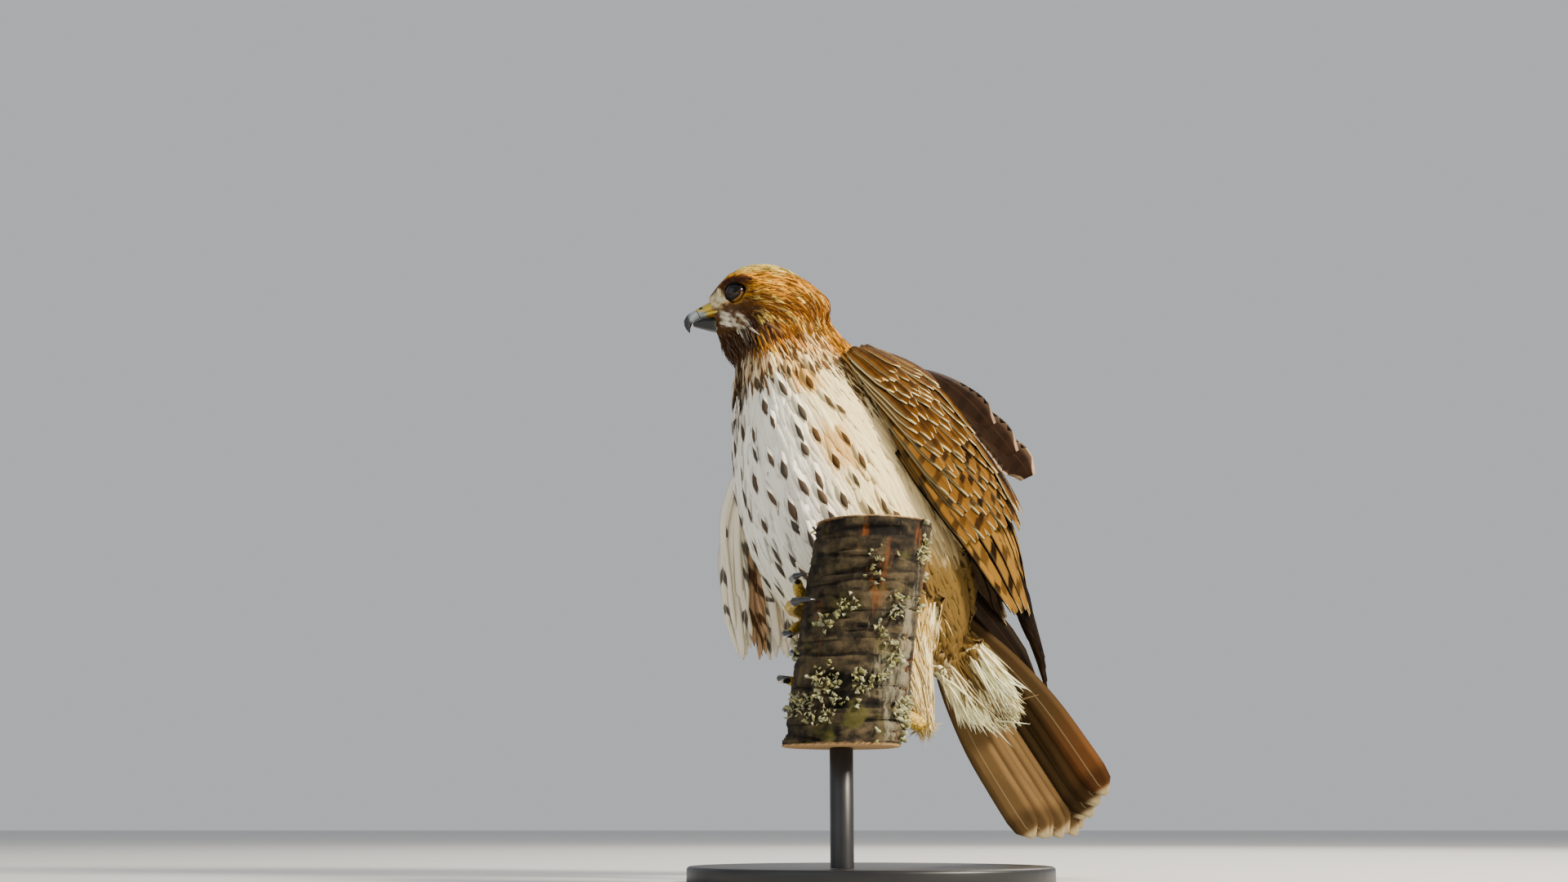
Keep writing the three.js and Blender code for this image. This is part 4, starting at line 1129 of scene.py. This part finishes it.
def wingLayers(side):
    layers = []
    for tier in tiers:
        count = tier["count"]
        k = np.linspace(0, 1, count)
        stray = draws.normal(0, 1, (2, count))
        roots, tips = (np.stack([mix(a, b, k), mix(c, d, k)], axis=-1)
                       for a, b, c, d in (tier["root"], tier["tip"]))
        tips += np.stack([0.007 * stray[0], 0.6 * stray[1]], axis=-1)
        heights = np.array(tier["heights"])[None] + draws.uniform(-0.3, 0.5, (count, 1))
        layers.append((wingTier(side, roots, tips, tier["half"], heights, flight, 0.12, 14, tier["twist"]),
                       tierLooks(count, tier["looks"])))
    layers.extend(covertRows(side))
    for root, tip, widest, rise in scapulars["rows"]:
        count = scapulars["count"]
        k = np.linspace(0, 1, count)
        roots = np.stack([root + 0.01 * k, mix(8, widest, k)], axis=-1)
        tips = np.stack([tip - 0.02 * k + draws.normal(0, 0.014, count), mix(8, widest + 4, k)], axis=-1)
        heights = np.array((-6, -1, 0.6, rise))[None] + draws.uniform(-0.3, 0.6, (count, 1))
        layers.append((wingTier(side, roots, tips, scapulars["half"], heights, covert, -0.04, 9),
                       tierLooks(count, scapulars["looks"])))
    if side > 0:  # three that the wind lifts and turns
        raised = wingTier(side, *(lifted[key] for key in ("root", "tip", "half", "heights")), lobed, 0, 14,
                          lifted["twist"])
        layers.append((raised, tierLooks(3, lifted["looks"])))
    return layers


flightThickness = 0.42


def joined(name, layers, finish, slot, *replaced):
    total = sum(len(shape["path"]) for shape, _ in layers)
    corner, size = gridCells(total)
    start, parts = 0, []
    for shape, looks in layers:
        count = len(shape["path"])
        cells = (corner[start:start + count], size)
        start += count
        parts.append(vanes(name, shape["path"], shape["across"], shape["out"], shape["half"], flightThickness,
                           shape["cup"], cells, looks, 5, shape["slope"]))
    bm = bmesh.new()
    for part in parts:
        bm.from_mesh(part)
        bpy.data.meshes.remove(part)
    mesh = meshOf(bm, name)
    print(name, total, "vanes,", len(mesh.polygons), "faces")
    newPiece(name, mesh, finish, slot, *replaced)


for side, name in ((1, "left"), (-1, "right")):
    joined("wing_vanes_" + name, wingLayers(side), wingFinish, "wing", "wing_" + name)

tailFinish = flightFinish("tail_feather", 9, 0.66, 0.75)
tailFan = {"length": 226, "width": 92, "feather": 25, "level": 0.9, "spacing": (2.2, 4.2, 5.6, 6),
           "shape": ([0, 0.3, 0.6, 0.88, 0.95, 0.985, 1], [0.5, 0.8, 0.94, 1.0, 0.86, 0.5, 0.15]),
           "shaded": 0.42,
           "looks": {**brownHues, "tone": (0.62, 0.31, 0.08), "mark": (0.12, 0.08, 0.045),
                     "rim": (0.88, 0.80, 0.62), "below": (0.40, 0.31, 0.19), "shaft": (0.56, 0.46, 0.31),
                     "bars": 0.0, "fringe": 0.5, "edge": 0.15, "vary": 0.07, "core": 0.1}}


def tailLayers():
    t = np.linspace(0, 1, 18)
    path, half, glow = [], [], []
    spacing = [*tailFan["spacing"], (tailFan["width"] - tailFan["feather"]) / 11]
    for side in (1, -1):
        for k in range(6):
            level = k + (1 if k else 0) + (1 if side < 0 else 0)
            reach = tailFan["length"] - 1.6 * k - 0.5 * k ** 2 + draws.uniform(-4, 3)
            left = draws.uniform(-2.4, 2.4) * t + side * (k + 0.5) * along(spacing, t)
            sag = -4 * (left / (tailFan["width"] / 2)) ** 2 - 3 * t ** 2
            path.append(inTail(t * reach, left, sag - level * tailFan["level"]))
            half.append(tailFan["feather"] / 2 * np.interp(t, *tailFan["shape"]))
            glow.append((0.04, 0.16)[k - 4] * ramp(t, 0.45, 0.9) if side > 0 and k > 3 else 0 * t)
    path = np.array(path)
    looks = tierLooks(12, tailFan["looks"])
    looks["below"][:6, :3] *= tailFan["shaded"]
    looks["below"] = mix(looks["below"][:, None], looks["tone"][:, None], np.array(glow)[..., None])
    return [({"path": path, "across": np.broadcast_to(tailLeft, path.shape), "half": np.array(half),
              "out": np.broadcast_to(tailUp, path.shape), "slope": 0.0, "cup": 0.03}, looks)]


joined("tail_vanes", tailLayers(), tailFinish, "tail", "tail")


# flank: long plumes off the right side
flank = {"count": 120, "half": (3.0, 5.6), "barred": (0.36, 0.6),
         "shape": ([0, 0.2, 0.6, 0.9, 1], [0.5, 1, 1, 0.6, 0.06]),
         "white": {**brownHues, "tone": (0.95, 0.91, 0.82), "mark": (0.12, 0.07, 0.04),
                   "rim": (0.98, 0.96, 0.90), "below": (0.93, 0.90, 0.84), "shaft": (0.93, 0.90, 0.84),
                   "fringe": 0.5, "vary": 0.07, "core": 0.0},
         "mottled": {**brownHues, "tone": (0.72, 0.58, 0.44), "mark": (0.22, 0.12, 0.07),
                     "rim": (0.86, 0.76, 0.64), "below": (0.66, 0.52, 0.40), "bars": 0.8, "fringe": 0.4,
                     "core": 0.0}}


def flankLayers():
    count, stations = flank["count"], 14
    inward = np.sort(draws.uniform(0, 1, count))
    row = draws.uniform(0, 1.6, count)
    x, y = mix(-6, 46, inward), 9 * row + mix(-5, 12, inward)
    drop = draws.uniform(-14, 26, count)
    stops = np.array([
        np.stack([-87 + 0.4 * x, 46 + y, 338 - 26 * row], axis=-1),
        np.stack([-104 + 0.8 * x, 42 + y, 278 - 16 * row], axis=-1),
        np.stack([-103 + 0.9 * x, 47 + y, 222 - 8 * row], axis=-1),
        np.stack([-94 + 0.88 * x, 56 + y, 180 + drop], axis=-1)])
    t = np.linspace(0, 1, stations)
    stops[1:, :, 0] += draws.normal(0, 2.6, (3, count))
    path = np.stack([along(stops[:, k], t) for k in range(count)])
    way = unit(np.gradient(path, axis=1))
    wide = np.array((1.0, -0.2, 0.0))
    across = unit(wide - (way @ wide)[..., None] * way)
    out = -unit(np.cross(across, way))
    half = draws.uniform(*flank["half"], count)[:, None] * np.interp(t, *flank["shape"])
    white, mottled = tierLooks(count, flank["white"]), tierLooks(count, flank["mottled"])
    inner = ((inward > flank["barred"][0]) & (inward < flank["barred"][1]))[:, None]
    looks = {key: np.where(inner, mottled[key], white[key]) for key in white}
    looks["amounts"][:, 0] = np.where(inner[:, 0], 0.9, np.where(draws.random(count) < 0.3, 0.9, 0.0))
    return [({"path": path, "across": across, "out": out, "half": half, "slope": 0.0, "cup": 0.15}, looks)]


joined("flank_plumes", flankLayers(), wingFinish, "plumage", "flank_right")


# eyes
def eyeFinish():
    finish = Finish("eye", roughness=0.07, Coat_Weight=0.2, Coat_Roughness=0.03, Specular_IOR_Level=0.25)
    gaze, _, _ = finish.parts(finish.attribute("gaze"))
    iris = finish.blend(finish.noise(900, 2).between(0.3, 0.7), (0.10, 0.05, 0.02), (0.26, 0.13, 0.04))
    # pupil and iris are placed higher and further back than the gaze, so the eye's upper part is painted
    # dark: painted shade under the brow
    colour = finish.blend(gaze.between(0.70, 0.76), (0.015, 0.01, 0.008), iris)
    finish.colour(finish.blend(gaze.between(0.83, 0.85), colour, (0.004, 0.004, 0.005)))
    return finish


eyeMaterial = eyeFinish()
lidFinish = Finish("lid", roughness=0.6, Specular_IOR_Level=0.2)
fromBall, lidHeight, lidFront = lidFinish.parts(lidFinish.attribute("collar"))
# the lid is darker over its top and front; on the top this is painted shade under the brow
darkLid = lidHeight.between(0.3, 0.55).most(lidFront.between(0.4, 0.65))
lidTone = lidFinish.blend(darkLid, (0.55, 0.38, 0.15), (0.10, 0.055, 0.02))
lidTone = lidFinish.blend(lidFinish.noise(1500, 2).between(0.3, 0.7) * 0.5, lidTone, (0.30, 0.18, 0.05))
lidFinish.colour(lidFinish.blend(fromBall.between(0.1, 0.3), (0.03, 0.02, 0.012), lidTone))
collar = {"outward": 2.6, "inward": 0.7, "slopeFrom": 8.6, "slope": 0.55, "flat": 0.8}


def lidPlace(vert):  # bends the ring into the eye's opening, with a collar that runs under the feathers
    ahead, up, off = vert.co / mm
    beyond = math.hypot(ahead, up) - eyes["radius"]
    reach = float(openingAt(ahead, up)) + beyond * (collar["outward"] if beyond > 0 else collar["inward"])
    turn = math.atan2(up, ahead)
    ball = math.sqrt(max(eyes["radius"] ** 2 - reach ** 2, 0))
    fall = max(reach - collar["slopeFrom"], 0) * collar["slope"]
    return Vector((reach * math.cos(turn), reach * math.sin(turn), off * collar["flat"] + ball - fall)) * mm


for middle, gaze, name in zip(eyeMiddles, eyeGazes, ("left", "right")):
    bm = bmesh.new()
    bmesh.ops.create_uvsphere(bm, u_segments=48, v_segments=32, radius=eyes["radius"] * mm)
    bmesh.ops.transform(bm, matrix=Vector(gaze).to_track_quat("Z", "Y").to_matrix().to_4x4(), verts=bm.verts)
    bmesh.ops.translate(bm, vec=Vector(middle * mm), verts=bm.verts)
    mesh = meshOf(bm, "eye_" + name)
    # aimed above and behind the gaze, so the dark upper eye is painted shade under the brow
    facingOut = unit(coords(mesh) - middle) @ unit(gaze + 0.3 * upward - 0.12 * headAhead)
    paint(mesh, "gaze", np.repeat(facingOut[:, None], 4, axis=1))
    newPiece("eyeball_" + name, mesh, eyeMaterial, "eye", "eye_" + name)
    bm = bmesh.new()
    made = bmesh.ops.create_circle(bm, segments=10, radius=eyes["lid"] * mm)["verts"]
    bmesh.ops.rotate(bm, verts=made, cent=(0, 0, 0), matrix=Matrix.Rotation(math.radians(90), 3, "X"))
    bmesh.ops.translate(bm, verts=made, vec=(eyes["radius"] * mm, 0, 0))
    bmesh.ops.spin(bm, geom=bm.edges[:], cent=(0, 0, 0), axis=(0, 0, 1), angle=2 * math.pi, steps=48,
                   use_merge=True)
    bmesh.ops.remove_doubles(bm, verts=bm.verts, dist=1e-6)
    ring = np.array([vert.co for vert in bm.verts]) / mm
    for vert in bm.verts:
        vert.co = lidPlace(vert)
    basis = Matrix((unit(headAhead - (headAhead @ gaze) * gaze), upward, gaze)).transposed().to_4x4()
    bmesh.ops.transform(bm, matrix=basis, verts=bm.verts)
    bmesh.ops.translate(bm, vec=Vector(middle * mm), verts=bm.verts)
    bmesh.ops.recalc_face_normals(bm, faces=bm.faces)
    mesh = meshOf(bm, "lid_" + name)
    beyond = np.clip((np.hypot(ring[:, 0], ring[:, 1]) - eyes["radius"]) / eyes["lid"], 0, 1)
    height, frontness = 0.5 + ring[:, 1] / 20, 0.5 + ring[:, 0] / 20
    paint(mesh, "collar", np.stack([beyond, height, frontness, np.ones(len(ring))], axis=-1))
    newPiece("lid_" + name, mesh, lidFinish, "plumage")


# bill, feet and claws: the solids, smoothed, in their own finishes
def fromSpot(finish, middle, squash=1.0):  # how far it is from a place seen from the side, in millimetres
    x, _, z = finish.parts(finish.place())
    across, up = x * 1000 - middle[0], z * 1000 - middle[1]
    return (across * across * squash + up * up) ** 0.5


hornFinish = Finish("horn", roughness=0.34, Coat_Weight=0.2)
paleHorn = fromSpot(hornFinish, (-129.5, 430)) + hornFinish.noise(260, 2) * 3
hornFinish.colour(hornFinish.blend(paleHorn.between(6.5, 10.5), (0.62, 0.65, 0.66), (0.05, 0.05, 0.06)))
hornFinish.bump(hornFinish.noise(600, 3), 0.1, 0.0003)
underFinish = Finish("horn_below", roughness=0.4)
x, _, _ = underFinish.parts(underFinish.place())
underFinish.colour(underFinish.blend((x * -1000).between(112, 118), (0.42, 0.38, 0.18), (0.085, 0.085, 0.09)))
clawFinish = Finish("claw", roughness=0.28, Coat_Weight=0.3)
clawFinish.colour(clawFinish.blend(clawFinish.noise(220, 3), (0.035, 0.045, 0.07), (0.10, 0.115, 0.14)))
cereFinish = Finish("cere", roughness=0.42)
x, _, z = cereFinish.parts(cereFinish.place())
waxy = cereFinish.blend(cereFinish.noise(300, 3), (0.86, 0.72, 0.12), (0.70, 0.62, 0.22))
low = (z * 1000).between(433.5, 431.5) * (x * -1000).between(121, 125)
waxy = cereFinish.blend(low, waxy, (0.62, 0.65, 0.64))
# the nostril is a dark spot on the closed cere: painted shade of its opening
hole = fromSpot(cereFinish, (-127.4, 435.8), 0.6)
cereFinish.colour(cereFinish.blend(hole.between(1.5, 1.0), waxy, (0.04, 0.03, 0.02)))
cereFinish.bump(cereFinish.noise(1200, 3), 0.15, 0.0003)
legFinish = Finish("leg", roughness=0.55)
scutes = legFinish.add("TexVoronoi", {"feature": "DISTANCE_TO_EDGE"},
                       {"Vector": legFinish.place(), "Scale": 330.0}).between(0.0, 0.12)
legFinish.colour(legFinish.blend(scutes, (0.45, 0.34, 0.10), (0.80, 0.66, 0.22)))
legFinish.bump(scutes, 0.5, 0.0005)

newPiece("cere_skin", remeshed("cere_skin", ["cere"], 0.5, 3), cereFinish, "cere", "cere")
newPiece("bill_top", remeshed("bill_top", ["bill_upper"], 0.45, 4), hornFinish, "horn", "bill_upper")
gape = {"line": [(38, 12.0, -9.4), (44, 11.2, -9.8), (50, 9.8, -10.6), (55, 8.6, -11.8)],
        "reach": [0.3, 1.0, 1.1, 0.4], "rings": 11, "corners": 12, "flat": 1.0}
for side, name in ((1, "left"), (-1, "right")):
    bm = bmesh.new()
    ringForm(bm, headRings(gape, side))
    newPiece("gape_" + name, meshOf(bm, "gape_" + name), cereFinish, "cere")
newPiece("bill_under", remeshed("bill_under", ["bill_lower"], 0.45, 4), underFinish, "horn", "bill_lower")
for name in ("left", "right"):
    for piece, node in (("toes_", "foot_"), ("shank_", "tarsus_")):
        smooth = remeshed(piece + name, [node + name], 0.8, 4)
        newPiece(piece + name, smooth, legFinish, "leg", node + name)
    for toe in ("middle", "inner", "outer", "hind"):
        node = f"claw_{name}_{toe}"
        newPiece(node + "_horn", remeshed(node + "_horn", [node], 0.4, 3), clawFinish, "horn", node)
print("bare parts made")


# perch: bark over the cut length of trunk
bark = {"ring": 2.2, "crack": 3.4, "deepest": 4.6, "crackWidth": 0.08}
barkMesh = remeshed("bark", ["perch_trunk"], 1.5, 2)
points, ways = coords(barkMesh), normals(barkMesh)
level = points * np.array((0.6, 0.6, 2.4))
ridges = grain(level, 9.0) * 0.5 + grain(level, 4.0, 3.0) * 0.35 + grain(points, 2.4, 9.0) * 0.2
cracks = np.abs(grain(points * np.array((0.13, 0.13, 1.5)), 6.5, 5.0) - 0.5)
cracked = np.clip(1 - cracks / bark["crackWidth"], 0, 1) * ramp(grain(points, 15.0, 2.0), 0.3, 0.6)
dent = np.clip(bark["ring"] * (1 - ridges) + bark["crack"] * cracked, 0, bark["deepest"])
sideways = 1 - ramp(np.abs(ways[:, 2]), 0.6, 0.9)
barkPoints = points - (sideways * dent)[:, None] * ways
setCoords(barkMesh, barkPoints)
paint(barkMesh, "bark", np.stack([sideways, ridges, cracks, np.ones(len(points))], axis=-1))
barkFinish = Finish("bark", roughness=0.92, Specular_IOR_Level=0.2)
onSide, ridge, crack = barkFinish.parts(barkFinish.attribute("bark"))
mottle = barkFinish.noise(70, 5, 0.65).between(0.35, 0.7)
base = barkFinish.blend(mottle, (0.13, 0.105, 0.07), (0.34, 0.29, 0.20))
# painted shade: darker where the bark is pushed in, and near black in its cracks
base = barkFinish.blend(ridge.between(0.62, 0.3) * 0.8, base, (0.045, 0.035, 0.025))
base = barkFinish.blend(crack.between(0.06, 0.01) * 0.8, base, (0.02, 0.015, 0.012))
streaky = barkFinish.add("Mapping", None, {"Vector": barkFinish.place(), "Scale": (1.0, 1.0, 0.22)})
stain = barkFinish.noise(75, 4, 0.6, streaky)
base = barkFinish.blend(stain.between(0.56, 0.70) * 0.6, base, (0.48, 0.26, 0.07))
moss = barkFinish.noise(34, 4, 0.6)
base = barkFinish.blend(moss.between(0.58, 0.68) * 0.55, base, (0.30, 0.29, 0.10))
pale = barkFinish.noise(26, 6, 0.75, streaky)
base = barkFinish.blend(pale.between(0.58, 0.66) * 0.6, base, (0.52, 0.50, 0.42))
x, y, z = barkFinish.parts(barkFinish.place())
rings = (((x * x + (y + 0.085) * (y + 0.085)) ** 0.5) * 2600 + barkFinish.noise(20, 3) * 5).sine()
wood = barkFinish.blend(rings.between(-1, 1), (0.62, 0.47, 0.30), (0.74, 0.60, 0.42))
barkFinish.colour(barkFinish.blend(onSide, wood, base))
barkFinish.bump(barkFinish.noise(420, 5, 0.7), 0.7, 0.0012)
newPiece("trunk_bark", barkMesh, barkFinish, "bark", "perch_trunk")


# ruffled lichen in patches on the bark
lichen = {"count": 900, "length": (2.4, 5.6), "half": (0.9, 2.1), "stand": (0.2, 1.0), "patch": 0.66,
          "shape": (0.4, 0.8, 0.75, 1.15, 0.5), "grey": (0.74, 0.74, 0.62), "green": (0.64, 0.61, 0.34)}
patches = grain(barkPoints, 17.0, 4.0) + 0.25 * grain(barkPoints, 5.0, 8.0) - 0.125
grown = np.flatnonzero((patches > lichen["patch"]) & (sideways > 0.9))
chosen = draws.choice(grown, lichen["count"])
roots, outward = barkPoints[chosen], unit(ways[chosen])
side = unit(np.cross(outward, draws.normal(0, 1, roots.shape)))
reach, stand = (draws.uniform(*lichen[key], lichen["count"])[:, None] for key in ("length", "stand"))
t = np.linspace(0, 1, 5)
curl = draws.uniform(0.2, 1.0, lichen["count"])[:, None] * t ** 2
path = spread(roots[:, None], reach * (t - 0.5 * curl), side[:, None],
              reach * (stand * t + 0.4 * curl) - 0.5, outward[:, None])
way = unit(np.gradient(path, axis=1))
across = unit(np.cross(way, outward[:, None]))
frills = draws.uniform(*lichen["half"], lichen["count"])[:, None] * np.array(lichen["shape"])
tone = mix(rgba(lichen["grey"], lichen["count"]), rgba(lichen["green"], lichen["count"]),
           draws.random(lichen["count"])[:, None])
tone[:, :3] *= draws.uniform(0.6, 1.2, (lichen["count"], 1))
lichenMesh = vanes("lichen", path, across, unit(np.cross(across, way)), frills, thick=0.3, cup=0.45,
                   cells=gridCells(lichen["count"]), looks={"tone": tone})
lichenFinish = Finish("lichen", roughness=0.9, Specular_IOR_Level=0.15)
lichenFinish.colour(lichenFinish.blend(lichenFinish.noise(500, 3) * 0.5, lichenFinish.attribute("tone"),
                                       (0.35, 0.36, 0.25)))
lichenFinish.bump(lichenFinish.noise(900, 3), 0.5, 0.0005)
newPiece("trunk_lichen", lichenMesh, lichenFinish, "bark")


# stand
standSizes = {"radius": 132, "height": 12, "edge": 2.4, "rod": 8, "rodAt": (-23, -85), "rodFoot": 12.4,
              "rodTop": 91.6}


def spun(name, profile, place, steps):
    bm = bmesh.new()
    made = [bm.verts.new((r * mm, 0, z * mm)) for r, z in profile]
    for first, second in zip(made, made[1:]):
        bm.edges.new((first, second))
    bmesh.ops.spin(bm, geom=bm.verts[:] + bm.edges[:], cent=(0, 0, 0), axis=(0, 0, 1), angle=2 * math.pi,
                   steps=steps, use_merge=True)
    bmesh.ops.remove_doubles(bm, verts=bm.verts, dist=1e-6)
    bmesh.ops.recalc_face_normals(bm, faces=bm.faces)
    bmesh.ops.translate(bm, vec=(place[0] * mm, place[1] * mm, 0), verts=bm.verts)
    return meshOf(bm, name)


standFinish = Finish("satin_black", roughness=0.38, metallic=0.2)
standFinish.colour(standFinish.blend(standFinish.noise(40, 3), (0.10, 0.10, 0.105), (0.15, 0.15, 0.155)))
standFinish.rough(standFinish.noise(90, 4) * 0.12 + 0.34)
standFinish.bump(standFinish.noise(2600, 2), 0.06, 0.0002)
radius, height, edge = (standSizes[key] for key in ("radius", "height", "edge"))
rounded = [(radius - edge + edge * math.sin(a), height - edge + edge * math.cos(a))
           for a in np.linspace(0, math.pi / 2, 6)]
disc = [(0, height), (radius - 14, height), (radius - edge - 0.5, height), *rounded, (radius, 0.8),
        (radius - 0.8, 0), (radius - 3, 0), (0, 0)]
newPiece("stand_disc", spun("base", disc, (0, 0), 128), standFinish, "stand", "stand_base")
rod, foot, top = (standSizes[key] for key in ("rod", "rodFoot", "rodTop"))
post = [(0, foot), (rod, foot), (rod, foot + 0.3), (rod, top - 0.6), (rod - 0.6, top), (0, top)]
newPiece("stand_post", spun("rod", post, standSizes["rodAt"], 64), standFinish, "stand", "stand_rod")

# floor
bm = bmesh.new()
bmesh.ops.create_grid(bm, x_segments=2, y_segments=2, size=40)
floor = inScene("floor", meshOf(bm, "floor"))
floorFinish = Finish("floor", roughness=0.8)
floorFinish.colour(floorFinish.blend(floorFinish.noise(3, 2), (0.80, 0.80, 0.79), (0.82, 0.82, 0.81)))
floor.data.materials.append(floorFinish.material)
floor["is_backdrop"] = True

low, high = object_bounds()
print("finished")
